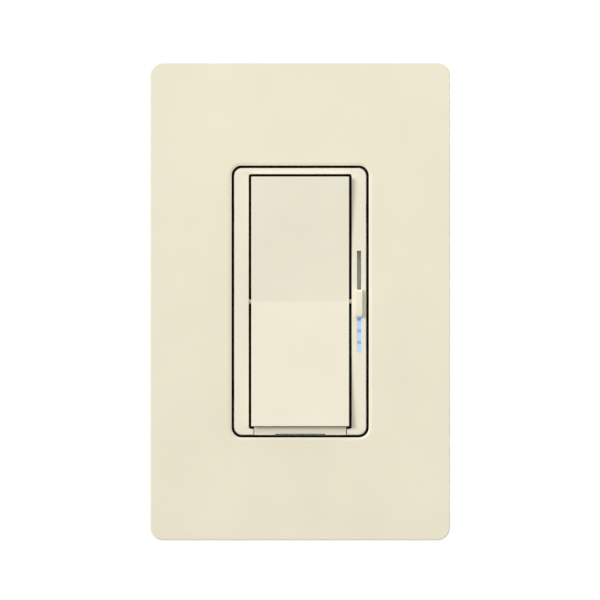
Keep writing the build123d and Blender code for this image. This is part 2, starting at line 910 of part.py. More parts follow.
with BuildPart() as control_chip:
    with BuildSketch(facing(board_front)):
        with Locations((0, chip_level)):
            Rectangle(chip_size, chip_size)
    extrude(amount=chip_height)
    chamfer(control_chip.faces().sort_by(Axis.Y)[0].edges(), chip_edge)

with BuildPart() as indicator_lamps:
    with BuildSketch(facing(board_front)):
        with Locations(*lamp_places):
            Rectangle(lamp_width, lamp_length)
    extrude(amount=lamp_height)

with BuildPart() as light_bar:
    with BuildSketch(facing(bar_back)):
        with Locations(((bar_left + bar_right) / 2, 0)):
            Rectangle(bar_width, 2 * bar_half_length)
    extrude(amount=bar_front - bar_back)
    with BuildSketch(facing(board_front)):
        for end in (-1, 1):
            with Locations(((bar_left + bar_right) / 2, end * (bar_half_length - bar_foot_length / 2))):
                Rectangle(bar_width, bar_foot_length)
    extrude(amount=bar_back - board_front)


def rubber_dome(level):
    """Hollow silicone key that pushes the paddle back to its middle position."""
    with BuildPart() as dome:
        with BuildSketch(Plane(origin=(dome_x, -board_front, level), x_dir=(1, 0, 0), z_dir=(0, 0, -1))):
            with BuildLine():
                Polyline(
                    (dome_shoulder_radius - dome_wall, 0),
                    (dome_radius, 0),
                    (dome_radius, dome_flange),
                    (dome_shoulder_radius, dome_flange),
                    (dome_key_radius, dome_height),
                    (0, dome_height),
                    (0, dome_height - 2 * dome_wall),
                    (dome_key_radius - dome_wall, dome_height - 2 * dome_wall),
                    close=True,
                )
            make_face()
        revolve(axis=Axis((dome_x, 0, level), (0, -1, 0)))
    return dome


upper_dome = rubber_dome(dome_level)
lower_dome = rubber_dome(-dome_level)

# ---------------------------------------------------------------------------------------------
# Slide potentiometer under the paddle, open on the side that the link comes in
# ---------------------------------------------------------------------------------------------

case_left = potentiometer_x - potentiometer_width / 2
case_right = potentiometer_x + potentiometer_width / 2
with BuildPart() as potentiometer_case:
    with BuildSketch(facing(board_front)):
        with Locations((potentiometer_x, 0)):
            Rectangle(potentiometer_width, potentiometer_length)
    extrude(amount=potentiometer_height)
    with BuildSketch(facing(case_floor)):
        with Locations((case_left + potentiometer_wall, 0)):
            Rectangle(
                potentiometer_width,
                potentiometer_length - 2 * potentiometer_wall,
                align=(Align.MIN, Align.CENTER),
            )
    extrude(amount=case_ceiling - case_floor, mode=Mode.SUBTRACT)

with BuildPart() as potentiometer_track:
    with BuildSketch(facing(case_floor)):
        with Locations((potentiometer_x, 0)):
            Rectangle(track_width, potentiometer_length - 4 * potentiometer_wall)
    extrude(amount=track_thickness)

wiper_back = track_front + slide_clearance / 2
wiper_front = case_ceiling - slide_clearance
wiper_left = case_left + potentiometer_wall + slide_clearance
wiper_right = case_right - potentiometer_wall
foot_end = wiper_right - wiper_engagement
with BuildPart() as potentiometer_wiper:
    with BuildSketch(facing(wiper_back)):
        with Locations((wiper_left, knob_level)):
            Rectangle(wiper_right - wiper_left, wiper_length, align=(Align.MIN, Align.CENTER))
    extrude(amount=wiper_front - wiper_back)
    with BuildSketch(facing(foot_back - socket_clearance)):
        with Locations((foot_end - socket_clearance, knob_level)):
            Rectangle(
                wiper_engagement + 2 * socket_clearance,
                link_leg_width + 2 * socket_clearance,
                align=(Align.MIN, Align.CENTER),
            )
    extrude(amount=link_foot_thickness + 2 * socket_clearance, mode=Mode.SUBTRACT)

# ---------------------------------------------------------------------------------------------
# Slide knob and the bent steel link that carries its motion past the light bar
# ---------------------------------------------------------------------------------------------

with BuildPart() as slider_link:
    with BuildSketch(facing(link_back)):
        with Locations((leg_left, knob_level)):
            Rectangle(bar_right - leg_left, link_length, align=(Align.MIN, Align.CENTER))
        with Locations((slot_x, knob_level)):
            Rectangle(
                stem_width + 2 * socket_clearance,
                stem_length + 2 * socket_clearance,
                mode=Mode.SUBTRACT,
            )
    extrude(amount=link_thickness)
    with BuildSketch(facing(foot_back)):
        with Locations((leg_left, knob_level)):
            Rectangle(link_leg_thickness, link_leg_width, align=(Align.MIN, Align.CENTER))
    extrude(amount=link_back - foot_back)
    with BuildSketch(facing(foot_back)):
        with Locations((foot_end, knob_level)):
            Rectangle(leg_right - foot_end, link_leg_width, align=(Align.MIN, Align.CENTER))
    extrude(amount=link_foot_thickness)

with BuildPart() as slider_knob:
    with BuildSketch(facing(knob_seat)):
        with Locations((slot_x, knob_level)):
            Rectangle(knob_width, knob_length)
    with BuildSketch(facing(knob_front)):
        with Locations((slot_x, knob_level + (knob_lower_slope - knob_upper_slope) / 2)):
            Rectangle(knob_crest_width, knob_length - knob_upper_slope - knob_lower_slope)
    loft()
    fillet(
        slider_knob.edges().filter_by(lambda edge: edge.center().Y < -knob_seat),
        knob_edge_radius,
    )
    with BuildSketch(facing(link_back)):
        with Locations((slot_x, knob_level)):
            Rectangle(stem_width, stem_length)
    extrude(amount=knob_seat - link_back)

# ---------------------------------------------------------------------------------------------
# Paddle: two flat faces that meet in a shallow valley over the trunnions
# ---------------------------------------------------------------------------------------------

face_rise = tan(radians(paddle_face_angle))
paddle_end_front = bezel_front + face_rise * paddle_half_length
inner_half_length = paddle_half_length - paddle_skirt
with BuildPart() as paddle:
    with BuildSketch(Plane.YZ):
        with BuildLine():
            Polyline(
                (-rail_back, -paddle_half_length),
                (-paddle_end_front, -paddle_half_length),
                (-bezel_front, 0),
                (-paddle_end_front, paddle_half_length),
                (-rail_back, paddle_half_length),
                close=True,
            )
        make_face()
    extrude(amount=paddle_half_width, both=True)
    front_edges = paddle.faces().filter_by(lambda face: face.normal_at().Y < -0.9).edges()
    rim_edges = front_edges.filter_by(lambda edge: abs(edge.center().Z) > paddle_half_length / 4)
    corner_edges = paddle.edges().filter_by(Axis.Y)
    fillet(rim_edges + corner_edges, paddle_edge_radius)
    with BuildSketch(Plane.YZ):
        with BuildLine():
            Polyline(
                (0, -inner_half_length),
                (-paddle_underside - face_rise * inner_half_length, -inner_half_length),
                (-paddle_underside, 0),
                (-paddle_underside - face_rise * inner_half_length, inner_half_length),
                (0, inner_half_length),
                close=True,
            )
        make_face()
    extrude(amount=paddle_half_width - paddle_skirt, both=True, mode=Mode.SUBTRACT)
    # Stiffening ribs, plungers over the domes, and the two trunnions
    for end in (-1, 1):
        rib_front = paddle_underside + face_rise * paddle_rib_level
        with BuildSketch(facing(rib_front + paddle_wall / 2)):
            with Locations((0, end * paddle_rib_level)):
                Rectangle(2 * (paddle_half_width - paddle_skirt / 2), paddle_rib_thickness)
        extrude(amount=-(paddle_rib_depth + paddle_wall / 2))
        plunger_front = paddle_underside + face_rise * dome_level
        with BuildSketch(facing(dome_front)):
            with Locations((dome_x, end * dome_level)):
                Circle(plunger_radius)
        extrude(amount=plunger_front + paddle_wall / 2 - dome_front)
        with BuildSketch(beside(end, paddle_half_width - paddle_skirt / 2)):
            with Locations((-trunnion_height, 0)):
                Circle(trunnion_radius)
        extrude(amount=paddle_skirt / 2 + paddle_side_gap + trunnion_engagement)

# ---------------------------------------------------------------------------------------------
# Bezel
# ---------------------------------------------------------------------------------------------

post_x = board_half_width - board_post_radius
post_z = board_half_length - board_post_radius
with BuildPart() as bezel:
    with BuildSketch(facing(strap_thickness)):
        RectangleRounded(2 * bezel_half_width, 2 * bezel_half_length, bezel_corner)
    extrude(amount=bezel_front - strap_thickness)
    fillet(bezel.faces().sort_by(Axis.Y)[0].edges(), bezel_edge_radius)
    with BuildSketch(facing(strap_thickness)):
        Rectangle(2 * channel_right, 2 * window_half_length)
    extrude(amount=bezel_face_back - strap_thickness, mode=Mode.SUBTRACT)
    with BuildSketch(facing(rail_back)):
        for side in (-1, 1):
            with Locations((side * (window_half_width + rail_thickness / 2), 0)):
                Rectangle(rail_thickness, 2 * window_half_length)
    extrude(amount=bezel_face_back - rail_back)
    with BuildSketch(facing(bezel_front)):
        RectangleRounded(2 * window_half_width, 2 * window_half_length, bezel_window_corner)
    extrude(amount=strap_thickness - bezel_front, mode=Mode.SUBTRACT)
    with BuildSketch(facing(bezel_front)):
        with Locations((slot_x, 0)):
            Rectangle(slot_width, slot_length)
    extrude(amount=-bezel_face, mode=Mode.SUBTRACT)
    # Trunnion sockets
    for side in (-1, 1):
        with BuildSketch(beside(side, window_half_width)):
            with Locations((-trunnion_height, 0)):
                Circle(trunnion_radius + trunnion_clearance)
        extrude(amount=trunnion_engagement + trunnion_clearance, mode=Mode.SUBTRACT)
    # Seat of the service tab and the two holes for its legs
    with BuildSketch(facing(bezel_front)):
        with Locations((0, -window_half_length)):
            Rectangle(2 * notch_half_width, 2 * bezel_end_margin, align=(Align.CENTER, Align.MAX))
    extrude(amount=tab_seat_height - bezel_front, mode=Mode.SUBTRACT)
    with BuildSketch(facing(tab_seat_height)):
        with Locations(*[(side * tab_leg_x, tab_leg_z) for side in (-1, 1)]):
            Rectangle(tab_leg_width + 2 * slot_clearance, tab_leg_thickness + 2 * slot_clearance)
    extrude(amount=strap_thickness - tab_seat_height, mode=Mode.SUBTRACT)
    # Posts that hold the control board down
    with BuildSketch(facing(board_front)):
        with Locations(*[(side * post_x, end * post_z) for side in (-1, 1) for end in (-1, 1)]):
            Circle(board_post_radius)
    extrude(amount=bezel_face_back - board_front)
    # Clips that pass through the strap and hook behind it
    for side, level in clips:
        with BuildSketch(facing(strap_thickness)):
            with Locations((side * clip_x, level)):
                Rectangle(bezel_outer_wall, clip_width)
        extrude(amount=-(strap_thickness + clip_hook_height))
        with BuildSketch(facing(0)):
            with Locations((side * (clip_x + clip_hook / 2), level)):
                Rectangle(bezel_outer_wall + clip_hook, clip_width)
        extrude(amount=-clip_hook_height)

# ---------------------------------------------------------------------------------------------
# Service tab, with the block and the copper bridge that its legs carry
# ---------------------------------------------------------------------------------------------

with BuildPart() as service_tab:
    with BuildSketch(Plane.YZ):
        with BuildLine():
            Polyline(
                (-tab_back, tab_bottom),
                (-tab_front, tab_bottom),
                (-tab_front, tab_bottom + tab_lip),
                (-tab_front + tab_ramp_drop, tab_top),
                (-tab_back, tab_top),
                close=True,
            )
        make_face()
    extrude(amount=tab_half_width, both=True)
    with BuildSketch(facing(tab_front)):
        with Locations((0, tab_bottom)):
            Rectangle(nail_notch_width, nail_notch_height, align=(Align.CENTER, Align.MIN))
    extrude(amount=-nail_notch_depth, mode=Mode.SUBTRACT)
    with BuildSketch(facing(tab_back)):
        with Locations(*[(side * tab_leg_x, tab_leg_z) for side in (-1, 1)]):
            Rectangle(tab_leg_width, tab_leg_thickness)
    extrude(amount=(actuator_front + actuator_back) / 2 - tab_back)

with BuildPart() as airgap_actuator:
    with BuildSketch(facing(actuator_back)):
        with Locations((0, actuator_bottom)):
            Rectangle(actuator_width, actuator_length, align=(Align.CENTER, Align.MIN))
    extrude(amount=actuator_depth)
    with BuildSketch(facing(actuator_front)):
        with Locations(*[(side * tab_leg_x, tab_leg_z) for side in (-1, 1)]):
            Rectangle(tab_leg_width + 2 * socket_clearance, tab_leg_thickness + 2 * socket_clearance)
    extrude(amount=-actuator_depth / 2, mode=Mode.SUBTRACT)

with BuildPart() as airgap_bridge:
    with BuildSketch(facing(actuator_back)):
        with Locations((0, bridge_z)):
            RectangleRounded(bridge_width, bridge_length, bridge_corner)
    extrude(amount=-bridge_thickness)

with BuildPart() as airgap_contacts:
    for side in (-1, 1):
        with BuildSketch(facing(lead_end)):
            with Locations((side * airgap_post_x, bridge_z)):
                Rectangle(airgap_post_width, airgap_post_thickness)
        extrude(amount=bridge_back - airgap_contact_thickness - lead_end)
        with BuildSketch(facing(bridge_back)):
            with Locations((side * airgap_post_x, bridge_z)):
                Circle(airgap_contact_radius)
        extrude(amount=-airgap_contact_thickness)

# ---------------------------------------------------------------------------------------------
# Adapter plate, screwed to the strap
# ---------------------------------------------------------------------------------------------

snaps = [(side * snap_x, end) for side in (-1, 1) for end in (-1, 1)]
side_snaps = [(side, end * snap_level) for side in (-1, 1) for end in (-1, 1)]
with BuildPart(facing(adapter_front)) as adapter_plate:
    with BuildSketch(facing(0)):
        RectangleRounded(2 * adapter_half_width, 2 * adapter_half_length, adapter_corner)
        Rectangle(
            2 * (adapter_half_width - adapter_rim),
            2 * (adapter_half_length - adapter_rim),
            mode=Mode.SUBTRACT,
        )
    extrude(amount=adapter_rim_height)
    with BuildSketch(facing(strap_thickness)):
        Rectangle(2 * adapter_half_width - adapter_rim, 2 * adapter_half_length - adapter_rim)
        Rectangle(
            2 * (bezel_half_width + adapter_window_gap),
            2 * (bezel_half_length + adapter_window_gap),
            mode=Mode.SUBTRACT,
        )
        with Locations(*box_screws):
            Circle(machine_head_radius + adapter_screw_relief, mode=Mode.SUBTRACT)
    extrude(amount=adapter_thickness)
    with Locations(*plate_screws):
        CounterSinkHole(
            machine_screw_radius + thread_clearance,
            plate_screw_head_radius + thread_clearance,
            counter_sink_angle=90,
        )
    for x, end in snaps:
        with BuildSketch(facing(lip_back)):
            with Locations((x, end * (adapter_half_length - adapter_lip / 2))):
                Rectangle(adapter_lip_width, 3 * adapter_lip)
        extrude(amount=adapter_lip_height)
    for side, level in side_snaps:
        with BuildSketch(facing(lip_back)):
            with Locations((side * (adapter_half_width - adapter_lip / 2), level)):
                Rectangle(3 * adapter_lip, adapter_lip_width)
        extrude(amount=adapter_lip_height)

plate_screw = flat_head_screw(machine_screw_radius, plate_screw_head_radius, plate_screw_length)
with BuildPart(facing(adapter_front)) as adapter_screws:
    with Locations(*plate_screws):
        add(plate_screw)

# ---------------------------------------------------------------------------------------------
# Wall plate: a crowned cover with no visible screws
# ---------------------------------------------------------------------------------------------


def crowned_block(half_width, half_length, corner, front):
    """Solid from the wall to a front that is crowned from top to bottom, with drafted sides."""
    with BuildPart() as block:
        with BuildSketch(facing(0)):
            RectangleRounded(2 * half_width, 2 * half_length, corner)
        extrude(amount=front + plate_crown, taper=plate_draft)
        with BuildSketch(Plane.YZ):
            with BuildLine():
                ThreePointArc(
                    (plate_crown - front, -half_length), (-front, 0), (plate_crown - front, half_length)
                )
                Polyline(
                    (plate_crown - front, half_length),
                    (0, half_length),
                    (0, -half_length),
                    (plate_crown - front, -half_length),
                )
            make_face()
        extrude(amount=half_width, both=True, mode=Mode.INTERSECT)
    return block.part


plate_blank = crowned_block(plate_half_width, plate_half_length, plate_corner, plate_front)
plate_hollow = crowned_block(
    plate_inner_half_width,
    plate_inner_half_length,
    plate_inner_corner,
    plate_front - plate_wall,
)
with BuildPart() as wall_plate:
    add(plate_blank)
    fillet(
        wall_plate.edges().filter_by(lambda edge: edge.center().Y < 2 * plate_crown - plate_front),
        plate_edge_radius,
    )
    add(plate_hollow, mode=Mode.SUBTRACT)
    # Collar round the opening
    with BuildSketch(facing(collar_back)):
        RectangleRounded(
            2 * (opening_half_width + plate_collar),
            2 * (opening_half_length + plate_collar),
            opening_corner + plate_collar,
        )
    extrude(amount=plate_front - plate_wall / 2 - plate_crown / 2 - collar_back)
    with BuildSketch(facing(0)):
        RectangleRounded(2 * opening_half_width, 2 * opening_half_length, opening_corner)
    extrude(amount=plate_front + plate_crown, mode=Mode.SUBTRACT)
    opening_edges = wall_plate.edges().filter_by(
        lambda edge: abs(edge.center().X) < opening_half_width + slide_clearance
        and abs(edge.center().Z) < opening_half_length + slide_clearance
        and edge.center().Y < plate_crown - plate_front
    )
    fillet(opening_edges, plate_reveal_radius)
    # Catches that the adapter's lips snap over
    for x, end in snaps:
        with BuildSketch(facing(catch_front)):
            with Locations((x, end * (plate_inner_half_length - plate_catch))):
                Rectangle(
                    plate_catch_width,
                    plate_catch + plate_wall / 2,
                    align=(Align.CENTER, Align.MIN if end > 0 else Align.MAX),
                )
        extrude(amount=-plate_catch_height)
    for side, level in side_snaps:
        with BuildSketch(facing(catch_front)):
            with Locations((side * (plate_inner_half_width - plate_catch), level)):
                Rectangle(
                    plate_catch + plate_wall / 2,
                    plate_catch_width,
                    align=(Align.MIN if side > 0 else Align.MAX, Align.CENTER),
                )
        extrude(amount=-plate_catch_height)

# ---------------------------------------------------------------------------------------------
# Export, one file for each named piece
# ---------------------------------------------------------------------------------------------

pieces = {
    "mounting_strap": mounting_strap,
    "ground_screw": ground_screw,
    "mounting_screws": mounting_screws,
    "screw_retainers": screw_retainers,
    "back_housing": back_housing,
    "housing_screws": housing_screws,
    "terminal_plates": terminal_plates,
    "terminal_clamps": terminal_clamps,
    "terminal_screws": terminal_screws,
    "power_board": power_board,
    "choke_core": choke_core,
    "choke_winding": choke_winding,
    "film_capacitor": film_capacitor,
    "can_capacitor": can_capacitor,
    "fuse": fuse,
    "supply_coil": supply_coil,
    "varistor": varistor,
    "board_header": board_header,
    "triac_pad": triac_pad,
    "triac": triac,
    "triac_screw": triac_screw,
    "triac_nut": triac_nut,
    "board_insulator": board_insulator,
    "control_board": control_board,
    "control_chip": control_chip,
    "indicator_lamps": indicator_lamps,
    "light_bar": light_bar,
    "upper_dome": upper_dome,
    "lower_dome": lower_dome,
    "potentiometer_case": potentiometer_case,
    "potentiometer_track": potentiometer_track,
    "potentiometer_wiper": potentiometer_wiper,
    "slider_link": slider_link,
    "slider_knob": slider_knob,
    "paddle": paddle,
    "bezel": bezel,
    "service_tab": service_tab,
    "airgap_actuator": airgap_actuator,
    "airgap_bridge": airgap_bridge,
    "airgap_contacts": airgap_contacts,
    "adapter_plate": adapter_plate,
    "adapter_screws": adapter_screws,
    "wall_plate": wall_plate,
}

os.makedirs("parts", exist_ok=True)
for name, piece in pieces.items():
    piece.part.label = name
    export_step(piece.part, f"parts/{name}.step")
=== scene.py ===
"""Looks of a wall-box slide dimmer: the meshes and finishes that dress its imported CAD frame."""

import json
import logging
import math
from collections.abc import Callable, Iterable, Iterator, Sequence
from contextlib import contextmanager
from dataclasses import dataclass
from enum import Enum
from itertools import product
from typing import ClassVar

import bmesh
import bpy
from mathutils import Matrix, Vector

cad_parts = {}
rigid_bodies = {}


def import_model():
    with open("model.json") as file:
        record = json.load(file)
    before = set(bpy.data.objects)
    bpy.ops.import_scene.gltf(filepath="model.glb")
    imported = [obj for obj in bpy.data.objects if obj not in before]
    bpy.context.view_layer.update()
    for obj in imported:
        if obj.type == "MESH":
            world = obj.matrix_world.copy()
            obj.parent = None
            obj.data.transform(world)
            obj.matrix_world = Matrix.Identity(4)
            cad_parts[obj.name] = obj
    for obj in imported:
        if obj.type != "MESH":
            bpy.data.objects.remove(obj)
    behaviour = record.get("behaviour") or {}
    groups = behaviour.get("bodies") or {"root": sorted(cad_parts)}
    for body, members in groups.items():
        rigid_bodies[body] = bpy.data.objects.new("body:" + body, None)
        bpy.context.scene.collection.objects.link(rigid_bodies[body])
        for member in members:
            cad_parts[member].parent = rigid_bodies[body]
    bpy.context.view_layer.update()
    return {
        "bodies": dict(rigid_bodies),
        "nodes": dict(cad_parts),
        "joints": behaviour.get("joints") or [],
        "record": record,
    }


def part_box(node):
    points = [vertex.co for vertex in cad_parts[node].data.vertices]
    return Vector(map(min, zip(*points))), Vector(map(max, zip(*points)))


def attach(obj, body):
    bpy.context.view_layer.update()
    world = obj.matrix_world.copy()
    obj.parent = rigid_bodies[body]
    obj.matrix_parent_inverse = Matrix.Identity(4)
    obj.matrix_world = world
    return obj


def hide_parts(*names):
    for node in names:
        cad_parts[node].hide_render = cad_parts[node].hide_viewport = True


LOG = logging.getLogger("dimmer")
# Metres in a millimetre, the distance in metres at which points merge, and a slack in millimetres
MM = 0.001
TINY = 1e-6
NEAR = 0.01
# The two sides of the device's middle: left or lower, and right or upper
SIDES = (-1, 1)

Colour = tuple[int, int, int]
Point = tuple[float, float, float]
Place = tuple[float, float]
Piece = bpy.types.Object
Tree = bpy.types.NodeTree
Socket = bpy.types.NodeSocket
PointTest = Callable[[Vector], bool]
EdgeTest = Callable[[Vector, Vector], bool]


class Axis(Enum):
    """Direction that a turned part's centre line runs in, with its head towards the arrow."""

    ROOM = (0.0, -1.0, 0.0)
    RIGHT = (1.0, 0.0, 0.0)
    LEFT = (-1.0, 0.0, 0.0)

    @classmethod
    def outward(cls, side: int) -> "Axis":
        """The axis that points away from the middle on this side, -1 or 1."""
        return cls.RIGHT if side > 0 else cls.LEFT


class Body(Enum):
    """Rigid body that a piece moves with."""

    DEVICE = "dimmer_body"
    PADDLE = "paddle"
    SLIDER = "slider"
    TAB = "service_tab"


class Recess(Enum):
    """Shape of the driver recess in a screw's head."""

    SLOT = "slot"
    CROSS = "cross"


class Kind(Enum):
    """Kind of mesh part that is picked."""

    POINTS = "VERT"
    EDGES = "EDGE"


class Change(Enum):
    """What a tool does to a piece."""

    CUT = "DIFFERENCE"
    JOIN = "UNION"
    TRIM = "INTERSECT"


# Modelling helpers


def clear_selection() -> None:
    """Deselects every object, so that an operator only acts on the piece in hand."""
    if bpy.context.mode != "OBJECT":
        bpy.ops.object.mode_set(mode="OBJECT")
    bpy.ops.object.select_all(action="DESELECT")


def take_up(piece: Piece) -> None:
    """Makes one object the only selected and active one."""
    clear_selection()
    piece.select_set(True)
    bpy.context.view_layer.objects.active = piece


@contextmanager
def editing(piece: Piece) -> Iterator[None]:
    """Holds one object in edit mode, with all of it selected at first."""
    take_up(piece)
    bpy.ops.object.mode_set(mode="EDIT")
    bpy.ops.mesh.select_all(action="SELECT")
    yield
    bpy.ops.object.mode_set(mode="OBJECT")


def settle(piece: Piece) -> None:
    """Moves an object's place, turn and scale into its mesh."""
    take_up(piece)
    bpy.ops.object.transform_apply(location=True, rotation=True, scale=True)


def named(name: str) -> Piece:
    """Names the active object and its mesh, and returns it."""
    piece = bpy.context.active_object
    piece.name = name
    piece.data.name = name
    return piece


def block(name: str, x: Place, z: Place, heights: Place) -> Piece:
    """Adds a cuboid. Each pair may come in either order, in millimetres.

    Args:
        name: Name of the new object.
        x: Its left and right side.
        z: Its bottom and top.
        heights: How far its back and its front stand before the wall.

    Returns:
        The new object, with its place in its mesh.
    """
    clear_selection()
    spans = [sorted(x), sorted(-height for height in heights), sorted(z)]
    bpy.ops.mesh.primitive_cube_add(size=1, location=[(low + high) / 2 * MM for low, high in spans])
    piece = named(name)
    piece.scale = [(high - low) * MM for low, high in spans]
    settle(piece)
    return piece


def around(middle: float, half: float) -> Place:
    """The span that reaches this far to both sides of its middle."""
    return middle - half, middle + half


def both(reach: float) -> Place:
    """The span, or the two places, this far to both sides of the device's middle."""
    return -reach, reach


def outwards(side: int, near: float, far: float) -> Place:
    """The span between two distances from the middle, on one side, -1 or 1."""
    return side * near, side * far


class Mirror(Enum):
    """Copies that a brick has: the factors that its x and its z are given in each."""

    ONCE = ((1, 1),)
    LEFT_RIGHT = ((-1, 1), (1, 1))
    UP_DOWN = ((1, -1), (1, 1))
    FOUR = tuple(product(SIDES, SIDES))


@dataclass(frozen=True)
class Brick:
    """A plain cuboid of a piece or of its cutters, with its name, spans and mirrored copies."""

    name: str
    x: Place
    z: Place
    heights: Place
    mirror: Mirror = Mirror.ONCE


def laid(*bricks: Brick) -> Iterator[Piece]:
    """Adds cuboids: all that stand in one quarter of the device, and then those in the next."""
    for side, end in product(SIDES, SIDES):
        for brick in bricks:
            if (side, end) in brick.mirror.value:
                x, z = [side * edge for edge in brick.x], [end * edge for edge in brick.z]
                yield block(brick.name, x, z, brick.heights)


def pick(piece: Piece, kind: Kind, wanted: PointTest | EdgeTest) -> int:
    """Selects what passes a test in the mesh in edit mode.

    Args:
        piece: The object in edit mode.
        kind: Whether points or edges are tested.
        wanted: The test, which is given the point, or the edge's two ends, in millimetres.

    Returns:
        How many were selected.
    """
    bpy.ops.mesh.select_mode(type=kind.value)
    bpy.ops.mesh.select_all(action="DESELECT")
    mesh = bmesh.from_edit_mesh(piece.data)
    if kind is Kind.POINTS:
        chosen = [point for point in mesh.verts if wanted(point.co / MM)]
    else:
        chosen = [edge for edge in mesh.edges if wanted(*(end.co / MM for end in edge.verts))]
    for part in chosen:
        part.select_set(True)
    if kind is Kind.POINTS:
        mesh.select_flush(True)
    bmesh.update_edit_mesh(piece.data)
    return len(chosen)


def cross_cut(piece: Piece, place: Point, normal: Point) -> None:
    """Splits the faces of a piece along a plane through a place in millimetres."""
    with editing(piece):
        bpy.ops.mesh.bisect(plane_co=Vector(place) * MM, plane_no=normal, threshold=TINY)


def sunk(piece: Piece, wanted: PointTest, drop: float) -> None:
    """Moves the points that pass a test towards the wall, by a drop in millimetres."""
    with editing(piece):
        pick(piece, Kind.POINTS, wanted)
        bpy.ops.transform.translate(value=(0, drop * MM, 0))


def scaled(piece: Piece, wanted: PointTest, scale: Point, middle: Point) -> None:
    """Scales the points that pass a test, about a middle in millimetres."""
    with editing(piece):
        pick(piece, Kind.POINTS, wanted)
        bpy.ops.transform.resize(value=scale, center_override=Vector(middle) * MM)


def bevelled(radius: float, segments: int, affect: str) -> None:
    """Bevels what is selected in edit mode, by a radius in millimetres and with this many facets."""
    bpy.ops.mesh.bevel(
        offset_type="OFFSET", offset=radius * MM, segments=segments, affect=affect, clamp_overlap=False
    )


def round_edges(piece: Piece, wanted: EdgeTest, radius: float, segments: int) -> None:
    """Rounds the edges whose two ends pass a test.

    Args:
        piece: The object to round.
        wanted: Test that is given both ends, in millimetres.
        radius: Radius of the round, in millimetres.
        segments: Facets across the round.
    """
    with editing(piece):
        if pick(piece, Kind.EDGES, wanted):
            bevelled(radius, segments, "EDGES")


def combine(piece: Piece, tools: Iterable[Piece], change: Change) -> None:
    """Changes a piece by tools, one after the other, and removes the tools.

    Args:
        piece: The object that changes.
        tools: The objects that act on it.
        change: What they do to it.
    """
    for tool in tools:
        take_up(piece)
        step = piece.modifiers.new("change", "BOOLEAN")
        step.operation = change.value
        step.solver = "EXACT"
        step.object = tool
        bpy.ops.object.modifier_apply(modifier=step.name)
        spent = tool.data
        bpy.data.objects.remove(tool)
        bpy.data.meshes.remove(spent)
    with editing(piece):
        bpy.ops.mesh.remove_doubles(threshold=TINY)
        bpy.ops.mesh.dissolve_degenerate(threshold=TINY)
        bpy.ops.mesh.select_all(action="SELECT")
        bpy.ops.mesh.fill_holes(sides=4)


def crease(piece: Piece, wanted: EdgeTest) -> None:
    """Keeps the edges whose two ends pass a test sharp, however flat they are."""
    with editing(piece):
        if pick(piece, Kind.EDGES, wanted):
            bpy.ops.mesh.mark_sharp()


def gather(name: str, parts: Sequence[Piece]) -> Piece:
    """Joins separate shells into one object with this name."""
    clear_selection()
    for part in parts:
        part.select_set(True)
    bpy.context.view_layer.objects.active = parts[0]
    bpy.ops.object.join()
    return named(name)


def shade(piece: Piece, angle: float = 32.0) -> None:
    """Smooths the shading within an angle in degrees, and keeps the large faces flat."""
    take_up(piece)
    bpy.ops.object.shade_smooth_by_angle(angle=math.radians(angle), keep_sharp_edges=True)
    weigh = piece.modifiers.new("weigh", "WEIGHTED_NORMAL")
    weigh.keep_sharp = True
    weigh.weight = 100
    bpy.ops.object.modifier_apply(modifier=weigh.name)


def face_out(piece: Piece) -> None:
    """Merges doubled points and turns every face outwards."""
    with editing(piece):
        bpy.ops.mesh.remove_doubles(threshold=TINY)
        bpy.ops.mesh.normals_make_consistent(inside=False)


def lowered(piece: Piece, drop: float, share: Callable[[Vector], float]) -> None:
    """Lets the points of a piece down towards the wall, each by its own share of the drop.

    Args:
        piece: The object to shape.
        drop: Greatest drop in millimetres.
        share: The share from 0 to 1 that a point in millimetres takes.
    """
    take_up(piece)
    group = piece.vertex_groups.new(name="drop")
    for point in piece.data.vertices:
        group.add([point.index], share(point.co / MM), "REPLACE")
    sink = piece.modifiers.new("sink", "DISPLACE")
    sink.direction = "Y"
    sink.mid_level = 0.0
    sink.strength = drop * MM
    sink.vertex_group = group.name
    bpy.ops.object.modifier_apply(modifier=sink.name)
    piece.vertex_groups.clear()


def outline(name: str, points: Sequence[Point]) -> Piece:
    """Adds an open line of edges through points in millimetres, by moving a point along it."""
    clear_selection()
    bpy.ops.mesh.primitive_plane_add(size=MM, location=(0, 0, 0))
    line = named(name)
    with editing(line):
        bpy.ops.mesh.merge(type="CENTER")
        bpy.ops.mesh.select_all(action="SELECT")
        bpy.ops.transform.translate(value=Vector(points[0]) * MM)
        for start, end in zip(points, points[1:]):
            step = (Vector(end) - Vector(start)) * MM
            bpy.ops.mesh.extrude_vertices_move(TRANSFORM_OT_translate={"value": step})
    return line


def turned(name: str, profile: Sequence[Place], seat: Point, axis: Axis, steps: int = 40) -> Piece:
    """Turns a profile about a centre line, as on a lathe.

    Args:
        name: Name of the new object.
        profile: Points as (radius, distance along the axis) in millimetres, from pole to pole.
        seat: Point that the distances start from, in millimetres.
        axis: Direction of the centre line.
        steps: Facets round the part.

    Returns:
        The closed solid of revolution.
    """
    along = Vector(axis.value)
    across = Vector((0.0, 0.0, 1.0))
    part = outline(name, [Vector(seat) + across * radius + along * height for radius, height in profile])
    with editing(part):
        bpy.ops.mesh.spin(
            steps=steps, angle=math.tau, center=Vector(seat) * MM, axis=along, use_auto_merge=True
        )
    face_out(part)
    return part


def drum(radius: float, start: float, end: float) -> list[Place]:
    """Profile of a plain cylinder between two distances along its axis."""
    return [(0, start), (radius, start), (radius, end), (0, end)]


